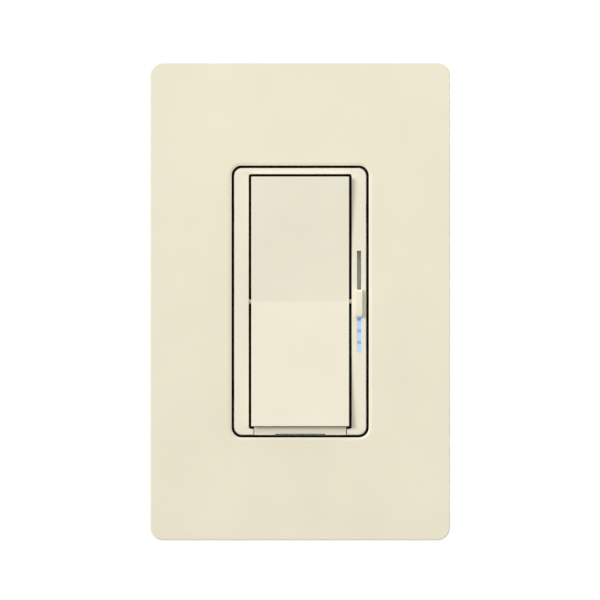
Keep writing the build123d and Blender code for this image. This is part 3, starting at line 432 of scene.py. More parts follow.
@dataclass(frozen=True)
class Ring:
    """A rounded rectangle parallel to the wall, in millimetres."""

    TOUCH: ClassVar[float] = 0.002
    half_width: float
    half_length: float
    corner: float
    height: float

    def at(self, height: float, margin: float = 0.0) -> "Ring":
        """The ring at another height, and smaller all round by a margin."""
        return Ring(self.half_width - margin, self.half_length - margin, self.corner - margin, height)

    def holds(self, *points: Vector) -> bool:
        """Whether all these points, in millimetres, lie on the ring."""
        return all(self.meets(point) for point in points)

    def meets(self, point: Vector) -> bool:
        """Whether a point in millimetres lies on the ring."""
        over_x = max(abs(point.x) - self.half_width + self.corner, 0.0)
        over_z = max(abs(point.z) - self.half_length + self.corner, 0.0)
        off = abs(math.hypot(over_x, over_z) - self.corner)
        return max(abs(point.y + self.height), off) < self.TOUCH

    def drawn(self, name: str, segments: int, cuts: tuple[int, int]) -> Piece:
        """Adds the ring as a closed line of edges.

        Args:
            name: Name of the new object.
            segments: Edges round each corner.
            cuts: Cuts along each horizontal and each vertical side.

        Returns:
            The new object.
        """
        clear_selection()
        bpy.ops.mesh.primitive_plane_add(size=2, rotation=(math.pi / 2, 0, 0))
        line = named(name)
        line.scale = (self.half_width * MM, self.half_length * MM, 1)
        line.location = (0, -self.height * MM, 0)
        settle(line)
        with editing(line):
            bpy.ops.mesh.select_mode(type=Kind.POINTS.value)
            bpy.ops.mesh.select_all(action="SELECT")
            bevelled(self.corner, segments, "VERTICES")
            bpy.ops.mesh.select_all(action="SELECT")
            bpy.ops.mesh.delete(type="ONLY_FACE")
            for number, along_z in zip(cuts, (False, True)):
                if number:
                    pick(line, Kind.EDGES, lambda a, b: self.side(a, b, along_z))
                    bpy.ops.mesh.subdivide(number_cuts=number)
        return line

    def side(self, a: Vector, b: Vector, along_z: bool) -> bool:
        """Whether two ends make one of the ring's straight sides, and not a piece of a corner."""
        if along_z:
            off, crosses = max(abs(a.x - b.x), abs(abs(a.x) - self.half_width)), a.z * b.z < 0
        else:
            off, crosses = max(abs(a.z - b.z), abs(abs(a.z) - self.half_length)), a.x * b.x < 0
        return off < self.TOUCH / 2 and crosses


def lofted(
    name: str,
    rings: Sequence[Ring],
    segments: int,
    cuts: tuple[int, int],
    between: Sequence[int],
    closed: bool = True,
) -> Piece:
    """Bridges rings, one after the other, into a skin.

    Args:
        name: Name of the new object.
        rings: The rings in order.
        segments: Edges round each corner.
        cuts: Cuts along each horizontal and each vertical side.
        between: Rows of faces added between each ring and the next.
        closed: Whether the last ring is bridged to the first; otherwise both are filled.

    Returns:
        The closed mesh.
    """
    pairs = list(zip(rings, rings[1:])) + ([(rings[-1], rings[0])] if closed else [])
    bands = []
    for pair, rows in zip(pairs, between):
        band = gather(name, [ring.drawn(name, segments, cuts) for ring in pair])
        with editing(band):
            bpy.ops.mesh.bridge_edge_loops(number_cuts=rows, interpolation="LINEAR")
        bands.append(band)
    for ring in () if closed else (rings[0], rings[-1]):
        lid = ring.drawn(name, segments, cuts)
        with editing(lid):
            bpy.ops.mesh.edge_face_add()
        bands.append(lid)
    skin = gather(name, bands)
    face_out(skin)
    return skin


# Finishes

NOISE_RANGE = (0.3, 0.7)
BEVEL_SAMPLES = 4
WEAVE = 8.0


def linear(colour: Colour) -> tuple[float, float, float, float]:
    """Turns an 8-bit screen colour into the linear colour that a shader works with."""
    parts = [value / 255 for value in colour]
    spread = [part / 12.92 if part <= 0.04045 else ((part + 0.055) / 1.055) ** 2.4 for part in parts]
    return spread[0], spread[1], spread[2], 1.0


def shifted(colour: Colour, steps: int) -> Colour:
    """A screen colour made lighter, or with negative steps darker."""
    red, green, blue = (min(max(value + steps, 0), 255) for value in colour)
    return red, green, blue


def feed(socket: Socket, value: object) -> None:
    """Links a value to a shader input, or sets it there when it is a constant."""
    if isinstance(value, Socket):
        socket.id_data.links.new(value, socket)
    else:
        socket.default_value = value


def add_node(tree: Tree, kind: str, feeds: dict[str | int, object], **settings: object) -> bpy.types.Node:
    """Adds a shader node.

    Args:
        tree: The node tree that it joins.
        kind: Blender's name of its type.
        feeds: What goes into its inputs: a socket to link, or a constant.
        settings: Its own properties.

    Returns:
        The new node.
    """
    node = tree.nodes.new(kind)
    for key, value in settings.items():
        setattr(node, key, value)
    for key, value in feeds.items():
        feed(node.inputs[key], value)
    return node


class Recipe:
    """A material under construction: its node tree and the few nodes that every finish starts from."""

    def __init__(self, name: str) -> None:
        """Starts a material of this name with an empty principled shader."""
        self.material = bpy.data.materials.new(f"{name}_finish")
        self.material.use_nodes = True
        self.tree = self.material.node_tree
        self.shader = self.tree.nodes["Principled BSDF"]
        self.place = add_node(self.tree, "ShaderNodeTexCoord", {}).outputs["Object"]

    def put(self, socket: str, value: object) -> None:
        """Gives one of the shader's own inputs a value to follow, or a constant."""
        feed(self.shader.inputs[socket], value)

    def stretched(self, scale: Point) -> Socket:
        """Object coordinates stretched along the axes, for a brushed or drawn surface."""
        mapping = add_node(self.tree, "ShaderNodeMapping", {"Vector": self.place, "Scale": scale})
        return mapping.outputs["Vector"]

    def noise(self, size: float, detail: float = 2.0, at: Socket | None = None, rough: float = 0.5) -> Socket:
        """Adds a noise whose features are about this many millimetres across.

        Args:
            size: Size of one blotch or grain.
            detail: Octaves of finer noise.
            at: Coordinates to use instead of the plain object coordinates.
            rough: Strength of the finer octaves.

        Returns:
            The noise's value socket.
        """
        feeds = {"Scale": 1 / (size * MM), "Detail": detail, "Roughness": rough, "Vector": at or self.place}
        return add_node(self.tree, "ShaderNodeTexNoise", feeds).outputs["Fac"]

    def ramp(self, value: Socket, source: Place, target: Place, curve: str = "LINEAR") -> Socket:
        """Maps a value from one range to another.

        Args:
            value: The value.
            source: The range that it comes from.
            target: What the two ends of that range become.
            curve: How the steps between them go.

        Returns:
            The new value's socket.
        """
        names = ("From Min", "From Max", "To Min", "To Max")
        feeds = {"Value": value, **dict(zip(names, (*source, *target)))}
        return add_node(self.tree, "ShaderNodeMapRange", feeds, interpolation_type=curve).outputs["Result"]

    def spread(self, value: Socket, span: Place) -> Socket:
        """Stretches the middle range that most of a noise lies in over a span."""
        return self.ramp(value, NOISE_RANGE, span)

    def blend(self, share: Socket, low: Colour, high: Colour) -> Socket:
        """Blends two screen colours by a share from 0 to 1, in the inputs that a mix keeps for colours."""
        feeds = {0: share, 6: linear(low), 7: linear(high)}
        return add_node(self.tree, "ShaderNodeMix", feeds, data_type="RGBA").outputs[2]

    def coat(self, tone: Socket, low: Colour, high: Colour, gloss: Socket, roughness: Place) -> None:
        """Sets the colour and the roughness, which both drift by a noise.

        Args:
            tone: Noise that the colour follows.
            low: Screen colour where it is low.
            high: Screen colour where it is high.
            gloss: Noise that the roughness follows.
            roughness: Lowest and highest roughness.
        """
        self.put("Base Color", self.blend(self.spread(tone, (0.0, 1.0)), low, high))
        self.put("Roughness", self.spread(gloss, roughness))

    def relief(self, value: Socket, depth: float) -> None:
        """Bumps the surface by a value, this many millimetres deep, over what is already bumped."""
        feeds = {"Height": value, "Distance": depth * MM, "Strength": 1.0}
        bump = add_node(self.tree, "ShaderNodeBump", feeds)
        under = self.shader.inputs["Normal"]
        if under.is_linked:
            feed(bump.inputs["Normal"], under.links[0].from_socket)
        self.put("Normal", bump.outputs["Normal"])

    def eased(self, radius: float) -> None:
        """Rounds the look of sharp edges by this many millimetres, under any relief."""
        ease = add_node(self.tree, "ShaderNodeBevel", {"Radius": radius * MM}, samples=BEVEL_SAMPLES)
        self.put("Normal", ease.outputs["Normal"])


@dataclass(frozen=True)
class Moulded:
    """Moulded plastic with a fine satin grain and faint flow marks.

    Attributes:
        name: Name of the finish.
        colour: Screen colour of the plastic.
        drift: How far the colour drifts over the part, in screen steps.
        roughness: Lowest and highest roughness.
        grain: Width of the moulded grain in millimetres.
        depth: Depth of the grain in millimetres.
        shine: Strength of the surface reflection.
        flow: Width of the broad tones and of the flow marks in millimetres.
    """

    name: str
    colour: Colour
    drift: int = 2
    roughness: Place = (0.42, 0.52)
    grain: float = 0.35
    depth: float = 0.0035
    shine: float = 0.5
    flow: Place = (14.0, 9.0)

    def made(self) -> bpy.types.Material:
        """Builds the material."""
        recipe = Recipe(self.name)
        tone, mark = self.flow
        low, high = shifted(self.colour, -self.drift), shifted(self.colour, self.drift)
        gloss = recipe.noise(2.5, detail=4.0)
        recipe.coat(recipe.noise(tone, detail=3.0), low, high, gloss, self.roughness)
        recipe.relief(recipe.noise(self.grain, detail=3.0), self.depth)
        recipe.relief(recipe.noise(mark, detail=1.0), self.depth * 4)
        recipe.put("Specular IOR Level", self.shine)
        return recipe.material


@dataclass(frozen=True)
class SheetMetal:
    """Rolled, brushed or plated metal.

    Attributes:
        name: Name of the finish.
        colour: Screen colour at the brightest.
        dull: Screen colour where it is tarnished or worn.
        roughness: Lowest and highest roughness.
        brushed: How much longer the brush marks are than wide; 1 for a plated or cast surface.
        mark: Width of one mark or crystal in millimetres.
        depth: Depth of the marks in millimetres.
        ease: Radius that the edges seem to have, in millimetres.
    """

    name: str
    colour: Colour
    dull: Colour
    roughness: Place = (0.28, 0.42)
    brushed: float = 1.0
    mark: float = 0.25
    depth: float = 0.003
    ease: float = 0.15

    def made(self) -> bpy.types.Material:
        """Builds the material."""
        recipe = Recipe(self.name)
        recipe.eased(self.ease)
        along = recipe.stretched((1.0, 1.0, 1.0 / self.brushed))
        tone = recipe.noise(self.mark * 4, detail=5.0, at=along)
        gloss = recipe.noise(self.mark, detail=3.0, at=along)
        recipe.coat(tone, self.dull, self.colour, gloss, self.roughness)
        recipe.relief(recipe.noise(self.mark, at=along), self.depth)
        recipe.put("Metallic", 1.0)
        return recipe.material


@dataclass(frozen=True)
class Speckled:
    """Pressed, sintered or woven stuff: fibre, ferrite, laminate or ceramic.

    Attributes:
        name: Name of the finish.
        colour: Main screen colour.
        fleck: Screen colour of the flecks.
        size: Size of a fleck in millimetres.
        roughness: Lowest and highest roughness.
        depth: Depth of the relief in millimetres.
        weave: Whether the flecks run in crossed threads.
    """

    name: str
    colour: Colour
    fleck: Colour
    size: float = 0.6
    roughness: Place = (0.6, 0.8)
    depth: float = 0.01
    weave: bool = False

    def made(self) -> bpy.types.Material:
        """Builds the material."""
        recipe = Recipe(self.name)
        flecks = recipe.noise(self.size, detail=4.0, rough=0.7)
        recipe.coat(flecks, self.colour, self.fleck, recipe.noise(self.size * 3), self.roughness)
        recipe.relief(flecks, self.depth)
        for across in ((WEAVE, 1.0, 1.0), (1.0, 1.0, WEAVE)) if self.weave else ():
            thread = recipe.noise(self.size * 2, detail=1.0, at=recipe.stretched(across))
            recipe.relief(thread, self.depth / 2)
        return recipe.material


@dataclass(frozen=True)
class Translucent:
    """Clear or milky film and rubber that lets a little light through its skin."""

    name: str
    colour: Colour
    roughness: Place = (0.35, 0.5)
    share: float = 0.2
    reach: float = 0.4
    drift: int = 6
    depth: float = 0.004

    def made(self) -> bpy.types.Material:
        """Builds the material."""
        recipe = Recipe(self.name)
        tone, gloss = recipe.noise(3.0, detail=3.0), recipe.noise(1.0)
        recipe.coat(tone, self.colour, shifted(self.colour, self.drift), gloss, self.roughness)
        recipe.relief(recipe.noise(0.5), self.depth)
        recipe.put("Subsurface Weight", self.share)
        recipe.put("Subsurface Radius", (self.reach * MM,) * 3)
        recipe.put("Subsurface Scale", 1.0)
        return recipe.material


@dataclass(frozen=True)
class LitBar:
    """Milky light guide whose lower part glows over the lamps behind it.

    Attributes:
        name: Name of the finish.
        milk: Screen colour of the unlit bar.
        glow: Screen colour between the lamps.
        lamp: Screen colour right over a lamp.
        strength: Strength of the glow.
        lit_edge: Levels in millimetres between which the glow fades out upwards.
        pitch: Distance from one lamp to the next.
        halo: Distances from a lamp's level where its colour begins and has ended to fade.
        first: Level that the lamps are counted from, well under the bar, in pitches.
        drift: How far the milk's colour drifts, in screen steps.
        roughness: Lowest and highest roughness.
        depth: Depth of the relief in millimetres.
    """

    name: str = "lit_bar"
    milk: Colour = (208, 214, 206)
    glow: Colour = (168, 208, 255)
    lamp: Colour = (20, 124, 252)
    strength: float = 0.64
    lit_edge: Place = (-0.3, 0.3)
    pitch: float = 2.92
    halo: Place = (0.28, 0.55)
    first: float = -20.5
    drift: int = 8
    roughness: Place = (0.3, 0.42)
    depth: float = 0.003

    def made(self) -> bpy.types.Material:
        """Builds the material."""
        recipe = Recipe(self.name)
        tone, gloss = recipe.noise(1.5), recipe.noise(0.8)
        recipe.coat(tone, self.milk, shifted(self.milk, self.drift), gloss, self.roughness)
        recipe.relief(recipe.noise(0.4), self.depth)
        split = add_node(recipe.tree, "ShaderNodeSeparateXYZ", {"Vector": recipe.place})
        level = split.outputs["Z"]
        lowest = self.first * self.pitch * MM
        above = add_node(recipe.tree, "ShaderNodeMath", {0: level, 1: lowest}, operation="SUBTRACT")
        feeds = {0: above.outputs["Value"], 1: self.pitch / 2 * MM}
        away = add_node(recipe.tree, "ShaderNodeMath", feeds, operation="PINGPONG").outputs["Value"]
        halo, edge = ((low * MM, high * MM) for low, high in (self.halo, self.lit_edge))
        near = recipe.ramp(away, halo, (0.0, 1.0), "SMOOTHSTEP")
        recipe.put("Emission Color", recipe.blend(near, self.lamp, self.glow))
        recipe.put("Emission Strength", recipe.ramp(level, edge, (self.strength, 0.0), "SMOOTHSTEP"))
        return recipe.material


Finish = Moulded | SheetMetal | Speckled | Translucent | LitBar

IVORY = (239, 232, 208)
SLOT_FINISHES: tuple[Finish, ...] = (
    Moulded("cover_plastic", IVORY),
    Moulded("bezel_plastic", (240, 234, 212)),
    Moulded("black_plastic", (30, 30, 31), 3, (0.45, 0.6), 0.5, 0.012, 0.3),
    SheetMetal("strap_metal", (205, 207, 209), (178, 181, 184), (0.3, 0.45), 18.0),
    SheetMetal("zinc_steel", (206, 206, 200), (176, 176, 168), (0.24, 0.4), 1.0, 0.4),
    SheetMetal("spring_steel", (180, 182, 184), (150, 152, 156), (0.25, 0.4), 6.0),
    SheetMetal("green_screw", (70, 158, 88), (44, 116, 62), (0.26, 0.42), 1.0, 0.4),
    SheetMetal("brass", (214, 178, 104), (176, 138, 72), (0.25, 0.4), 4.0),
    SheetMetal("copper", (206, 132, 92), (168, 98, 66), (0.25, 0.4), 4.0),
    Speckled("fibre", (146, 58, 42), (118, 42, 32), 0.5),
    Speckled("circuit_board", (22, 84, 44), (30, 100, 56), 0.8, (0.28, 0.42), 0.006, True),
    Speckled("insulating_film", (14, 14, 15), (20, 20, 21), 0.9, (0.45, 0.6), 0.003),
    Speckled("chip_black", (34, 34, 36), (46, 46, 48), 0.25, (0.5, 0.65), 0.004),
    Translucent("lamp", (236, 238, 232), (0.15, 0.3), 0.5),
    Translucent("silicone", (214, 214, 208), (0.4, 0.6), 0.4),
    Speckled("ferrite", (52, 52, 54), (74, 74, 76), 0.4, (0.5, 0.7), 0.012),
    Moulded("capacitor_film", (196, 150, 52), 6, (0.3, 0.42), 0.6, 0.008),
    SheetMetal("capacitor_can", (190, 194, 198), (160, 164, 170), (0.22, 0.35), 8.0),
    Speckled("ceramic", (66, 96, 168), (54, 82, 150), 0.7, (0.3, 0.45), 0.02),
)
FINISHES = {finish.name: finish for finish in SLOT_FINISHES} | {"light_guide": LitBar()}
# The adapter plate's real black plastic, made darker and less glossy than black_plastic as painted shade for
# the narrow gaps round the bezel, where the plate shows
GAP_SHADE_BLACK = Moulded("gap_shade_black", (14, 14, 14), 2, (0.55, 0.7), 0.5, 0.01, 0.2)
NODE_FINISHES: dict[str, Finish] = {
    "slider_link": SheetMetal("blued_steel", (34, 35, 38), (22, 23, 26), (0.35, 0.5), 6.0),
    "control_board": Speckled("dark_board", (9, 10, 10), (14, 16, 15), 0.8, (0.4, 0.55), 0.004),
}


class Wardrobe:
    """Makes each finish once and puts it on pieces and CAD nodes."""

    def __init__(self) -> None:
        """Starts with no material made."""
        self.made: dict[str, bpy.types.Material] = {}

    def take(self, finish: Finish) -> bpy.types.Material:
        """Returns the material of a finish, and makes it the first time."""
        if finish.name not in self.made:
            self.made[finish.name] = finish.made()
        return self.made[finish.name]

    def dress(
        self, piece: Piece, slot: str, body: Body, stands_for: str, finish: Finish | None = None
    ) -> None:
        """Finishes a new piece and fastens it to the frame.

        Args:
            piece: The new object, in its place.
            slot: The record's slot that its finish comes from.
            body: The rigid body that it rides on.
            stands_for: CAD node that it replaces.
            finish: A finish to use instead of the slot's own.
        """
        piece.data.materials.clear()
        piece.data.materials.append(self.take(finish or FINISHES[slot]))
        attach(piece, body.value)
        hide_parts(stands_for)
        LOG.info("%s: %d faces in %s", piece.name, len(piece.data.polygons), slot)

    def dress_nodes(self, nodes: dict[str, Piece]) -> None:
        """Gives every CAD node the finish of its slot, for those that keep their shape."""
        for name, node in sorted(nodes.items()):
            slot = node.material_slots[0].material.name.split(".")[0]
            if slot in FINISHES:
                for place in node.material_slots:
                    place.material = self.take(NODE_FINISHES.get(name, FINISHES[slot]))
                LOG.info("%s starts in %s", name, slot)


# Cover: the wall plate and the adapter plate under it


@dataclass
class WallPlate:
    """Crowned cover with no visible screws, open in the middle and hollow behind."""

    corner: float = 3.2
    draft: float = 0.066
    crown: float = 1.2
    crown_foot: float = 4.5
    wall: float = 2.0
    edge: float = 0.2
    inner_corner: float = 1.2
    opening: Ring = Ring(17.1, 33.88, 2.49, 7.6)
    opening_roll: tuple[Place, ...] = ((-0.85, 7.6), (-0.65, 7.585), (-0.08, 7.445), (0.0, 7.38))
    collar: float = 1.2
    collar_back: float = 3.2
    front_rows: int = 14
    roof_rows: int = 10
    catches: tuple[Brick, ...] = (
        Brick("catch", (15.5, 24.5), (56.95, 58.55), (2.7, 3.5), Mirror.FOUR),
        Brick("catch", (34.75, 36.35), (19.5, 28.5), (2.7, 3.5), Mirror.FOUR),
    )

    def build(self, wardrobe: Wardrobe) -> None:
        """Models the cover and finishes it."""
        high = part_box("wall_plate")[1]
        half_width, half_length, front = high.x / MM, high.z / MM, self.opening.height
        rim = Ring(half_width, half_length, self.corner, 0.0)
        brow = rim.at(front, self.draft)
        roll = [self.opening.at(height, margin) for margin, height in self.opening_roll]
        reveal = self.opening.at(self.collar_back)
        cuff = reveal.at(self.collar_back, -self.collar)
        roof = Ring(half_width - self.wall, half_length - self.wall, self.inner_corner, front - self.wall)
        rings = [rim, brow, *roll, reveal, cuff, cuff.at(front - self.wall), roof, roof.at(0.0)]
        rows = [0, self.front_rows, *[0] * (len(roll) + 2), self.roof_rows, 0, 0]
        cover = lofted("wall_plate_cover", rings, segments=8, cuts=(13, 47), between=rows)
        round_edges(cover, brow.holds, self.edge, segments=4)
        foot = -self.crown_foot
        lowered(cover, self.crown, lambda p: min((p.z / half_length) ** 2, 1.0) if p.y < foot else 0.0)
        combine(cover, laid(*self.catches), Change.JOIN)
        shade(cover)
        wardrobe.dress(cover, "cover_plastic", Body.DEVICE, "wall_plate")


@dataclass
class AdapterPlate:
    """Black plate with a raised rim that the cover snaps on to."""

    rim: Ring = Ring(34.6, 56.8, 2.0, 4.4)
    rim_width: float = 1.2
    rim_edge: float = 0.25
    back: float = 1.3
    front: float = 3.1
    window: Ring = Ring(16.62, 33.4, 2.0, 3.1)
    lips: tuple[Brick, ...] = (
        Brick("lip", (16.0, 24.0), (56.3, 57.25), (3.6, 4.4), Mirror.FOUR),
        Brick("lip", (34.1, 35.05), (20.0, 28.0), (3.6, 4.4), Mirror.FOUR),
    )
    rib_pitch: float = 14.0
    ribs_each_way: int = 3
    relief_level: float = 41.65
    relief: tuple[float, float, float] = (3.45, 0.5, 4.0)
    screw_level: float = 48.4
    sink: tuple[Place, ...] = ((0, 0.5), (1.8, 0.5), (1.8, 1.95), (2.98, 3.13), (2.98, 4.0), (0, 4.0))

    def build(self, wardrobe: Wardrobe) -> None:
        """Models the plate and finishes it."""
        inner = self.rim.at(self.rim.height, self.rim_width)
        rings = [self.rim.at(0.0), self.rim, inner, inner.at(self.front)]
        rings += [self.window, self.window.at(self.back), inner.at(self.back), inner.at(0.0)]
        plate = lofted("adapter_plate_moulding", rings, segments=6, cuts=(1, 3), between=[0] * len(rings))
        round_edges(plate, self.rim.holds, self.rim_edge, segments=3)
        combine(plate, laid(*self.lips, *self.ribs()), Change.JOIN)
        combine(plate, self.holes(), Change.CUT)
        shade(plate)
        # The darker black is partly the plate's own black and partly painted shade for the gaps that show it
        wardrobe.dress(plate, "black_plastic", Body.DEVICE, "adapter_plate", GAP_SHADE_BLACK)

    def ribs(self) -> Iterator[Brick]:
        """The stiffening ribs behind the plate, out to its rim."""
        for number in range(-self.ribs_each_way, self.ribs_each_way + 1):
            z = around(number * self.rib_pitch, 0.45)
            yield Brick("rib", (23.0, 33.7), z, (0.3, 1.6), Mirror.LEFT_RIGHT)

    def holes(self) -> Iterator[Piece]:
        """Cutters at both ends: room for a box screw's head, and the sunk hole of a cover screw."""
        for end in SIDES:
            yield turned("hole", drum(*self.relief), (0.0, 0.0, end * self.relief_level), Axis.ROOM)
            yield turned("hole", self.sink, (0.0, 0.0, end * self.screw_level), Axis.ROOM)


# Front: bezel, paddle, slide control and service tab


@dataclass
class Bezel:
    """Frame round the paddle, with the slot of the slide control and the seat of the service tab."""

    outer: Ring = Ring(16.41, 33.2, 1.95, 7.3)
    window: Ring = Ring(12.83, 31.79, 0.6, 7.3)
    back: float = 1.3
    edge: float = 0.14
    window_edge: float = 0.1
    trunnion_height: float = 5.8
    trunnion_root: float = 12.33
    socket: Place = (0.8, 1.1)
    cuts: tuple[Brick, ...] = (
        Brick("channel", (13.64, 15.54), (-31.79, 31.79), (0.0, 6.1), Mirror.LEFT_RIGHT),
        Brick("rail_gap", (11.83, 13.65), (-31.14, 31.14), (0.0, 4.4), Mirror.LEFT_RIGHT),
        Brick("leg_hole", (6.35, 9.65), (-32.9, -31.9), (0.0, 5.0), Mirror.LEFT_RIGHT),
        Brick("slot", (14.17, 15.17), (-12.65, 12.65), (5.0, 9.0)),
        Brick("seat", (-11.65, 11.65), (-36.0, -31.49), (3.5, 9.0)),
        Brick("relief", (-6.2, 6.2), (-35.5, -32.93), (0.0, 8.5)),
    )
    clips: tuple[Brick, ...] = (
        Brick("leg", (15.56, 16.52), (20.0, 24.0), (-0.98, 1.5), Mirror.FOUR),
        Brick("hook", (15.62, 17.1), (20.05, 23.95), (-1.0, 0.0), Mirror.FOUR),
    )

    def build(self, wardrobe: Wardrobe) -> None:
        """Models the frame and finishes it."""
        rings = [self.outer.at(self.back), self.outer, self.window, self.window.at(self.back)]
        frame = lofted("bezel_frame", rings, segments=8, cuts=(7, 15), between=[0, 1, 0, 1])
        round_edges(frame, self.outer.holds, self.edge, segments=4)
        round_edges(frame, self.window.holds, self.window_edge, segments=2)
        combine(frame, [*self.sockets(), *laid(*self.cuts)], Change.CUT)
        combine(frame, laid(*self.clips), Change.JOIN)
        shade(frame)
        wardrobe.dress(frame, "bezel_plastic", Body.DEVICE, "bezel")

    def sockets(self) -> Iterator[Piece]:
        """Cutters for the bearings of the paddle's two trunnions."""
        radius, depth = self.socket
        for side in SIDES:
            seat = (side * self.trunnion_root, -self.trunnion_height, 0.0)
            yield turned("socket", drum(radius, 0, depth), seat, Axis.outward(side), steps=24)


@dataclass
class Paddle:
    """Rocking paddle: two flat faces that meet in a shallow valley, with skirts and trunnions."""

    half_width: float = 12.17
    half_length: float = 31.1
    back: float = 4.4
    valley: float = 7.298
    slope: float = 3.3
    edge: float = 0.14
    crease_depth: float = 0.2
    skirt: float = 1.0
    wall: float = 1.4
    rib_level: float = 23.0
    rib_half: Place = (11.8, 0.4)
    rib_ends: Place = (-1.2, 0.5)
    plunger_place: Place = (-3.0, 11.0)
    plunger: tuple[Place, ...] = ((0, 5.0), (1.1, 5.0), (1.3, 5.2), (1.3, 7.0), (0, 7.0))
    trunnion_height: float = 5.8
    trunnion_root: float = 0.5
    neck: Place = (0.55, 1.08)
    trunnion: tuple[Place, ...] = ((0.75, 1.08), (0.75, 1.37), (0.6, 1.52), (0, 1.52))

    def rise(self, level: float) -> float:
        """How far the face stands over its valley at this level."""
        return math.tan(math.radians(self.slope)) * abs(level)

    def build(self, wardrobe: Wardrobe) -> None:
        """Models the paddle and finishes it."""
        body = self.wedge("paddle_rocker", self.half_width, self.half_length, self.back, self.valley)
        round_edges(body, self.at_rim, self.edge, segments=4)
        roof = self.valley - self.wall
        hollow = self.wedge("hollow", self.half_width - self.skirt, self.half_length - self.skirt, 0.0, roof)
        combine(body, [hollow], Change.CUT)
        combine(body, self.fittings(roof + self.rise(self.rib_level)), Change.JOIN)
        floor = self.valley - self.crease_depth
        crease(body, lambda a, b: max(abs(a.z), abs(b.z)) < NEAR and min(-a.y, -b.y) > floor)
        shade(body)
        wardrobe.dress(body, "cover_plastic", Body.PADDLE, "paddle", FINISHES["bezel_plastic"])

    def at_rim(self, a: Vector, b: Vector) -> bool:
        """Whether two ends make an edge round the face, or a front corner of an end wall."""
        height = min(-a.y, -b.y)
        level = abs(a.z - b.z) < NEAR
        crest = level and abs(a.z) > self.half_length - NEAR
        if crest and height > self.valley + self.rise(self.half_length) - NEAR:
            return True
        long_side = abs(a.x - b.x) < NEAR and abs(abs(a.x) - self.half_width) < NEAR
        return long_side and (height > self.valley - NEAR or level and abs(a.z) > 1)

    def fittings(self, roof: float) -> Iterator[Piece]:
        """At each end a stiffening rib, hung from the roof at this height, a plunger and a trunnion."""
        x, level = self.plunger_place
        half_x, half_z = self.rib_half
        for end in SIDES:
            heights = [roof + reach for reach in self.rib_ends]
            yield block("rib", both(half_x), around(end * self.rib_level, half_z), heights)
            yield turned("plunger", self.plunger, (x, 0.0, end * level), Axis.ROOM, steps=32)
            seat = (end * (self.half_width - self.trunnion_root), -self.trunnion_height, 0.0)
            pin = [(0, 0), (self.neck[0], 0), self.neck, *self.trunnion]
            yield turned("trunnion", pin, seat, Axis.outward(end), steps=32)

    def wedge(self, name: str, half_width: float, half_length: float, back: float, valley: float) -> Piece:
        """Cuboid whose front is pressed in along its middle.

        Args:
            name: Name of the new object.
            half_width: Half its width.
            half_length: Half its length.
            back: Height of its back.
            valley: Height of its front at the middle.

        Returns:
            The new object.
        """
        front = valley + self.rise(half_length)
        wedge = block(name, both(half_width), both(half_length), (back, front))
        cross_cut(wedge, (0, 0, 0), (0, 0, 1))
        sunk(wedge, lambda p: abs(p.z) < NEAR and -p.y > front - NEAR, front - valley)
        return wedge


@dataclass
class SlideControl:
    """Slim knob on its stem, and the light bar that it runs along."""

    slot_x: float = 14.67
    level: float = -0.4
    seat: float = 7.4
    front: float = 8.5
    half_width: float = 0.85
    half_length: float = 3.35
    upper_slope: Place = (0.7, 0.4)
    lower_slope: Place = (0.8, 0.22)
    edge: float = 0.1
    stem: Brick = Brick("stem", (14.25, 15.09), (-2.7, 1.9), (5.5, 7.7))
    bar: Place = (14.08, 15.48)
    bar_half: float = 13.15
    bar_back: float = 3.35
    bar_front: float = 5.4
    bar_edge: float = 0.3
    feet: Brick = Brick("foot", (14.08, 15.48), (11.95, 13.15), (2.55, 3.55), Mirror.UP_DOWN)

    def build(self, wardrobe: Wardrobe) -> None:
        """Models the knob and the bar and finishes both."""
        self.knob(wardrobe)
        self.light(wardrobe)

    def knob(self, wardrobe: Wardrobe) -> None:
        """Models the knob with its sloped ends."""
        x, z = around(self.slot_x, self.half_width), around(self.level, self.half_length)
        knob = block("slide_knob", x, z, (self.seat, self.front))
        front = self.front - NEAR
        for end, (length, drop) in zip(SIDES, (self.lower_slope, self.upper_slope)):
            cross_cut(knob, (0, 0, self.level + end * (self.half_length - length)), (0, 0, 1))
            sunk(knob, lambda p: -p.y > front and self.at_end(p) and (p.z - self.level) * end > 0, drop)
        round_edges(knob, self.at_crown, self.edge, segments=3)
        combine(knob, laid(self.stem), Change.JOIN)
        shade(knob)
        wardrobe.dress(knob, "cover_plastic", Body.SLIDER, "slider_knob", FINISHES["bezel_plastic"])

    def at_crown(self, a: Vector, b: Vector) -> bool:
        """Whether two ends make an edge round the knob's front."""
        before = min(-a.y, -b.y) > self.front - self.upper_slope[1] - NEAR
        return before and (abs(a.x - b.x) < NEAR or self.at_end(a))

    def at_end(self, point: Vector) -> bool:
        """Whether a point in millimetres lies on one end of the knob."""
        return abs(abs(point.z - self.level) - self.half_length) < NEAR

    def at_bar_front(self, a: Vector, b: Vector) -> bool:
        """Whether two ends make one of the bar's long front edges."""
        return min(-a.y, -b.y) > self.bar_front - NEAR and abs(a.x - b.x) < NEAR

    def light(self, wardrobe: Wardrobe) -> None:
        """Models the light bar on its two feet."""
        bar = block("light_guide_bar", self.bar, both(self.bar_half), (self.bar_back, self.bar_front))
        round_edges(bar, self.at_bar_front, self.bar_edge, segments=4)
        combine(bar, laid(self.feet), Change.JOIN)
        shade(bar)
        wardrobe.dress(bar, "light_guide", Body.DEVICE, "light_bar")


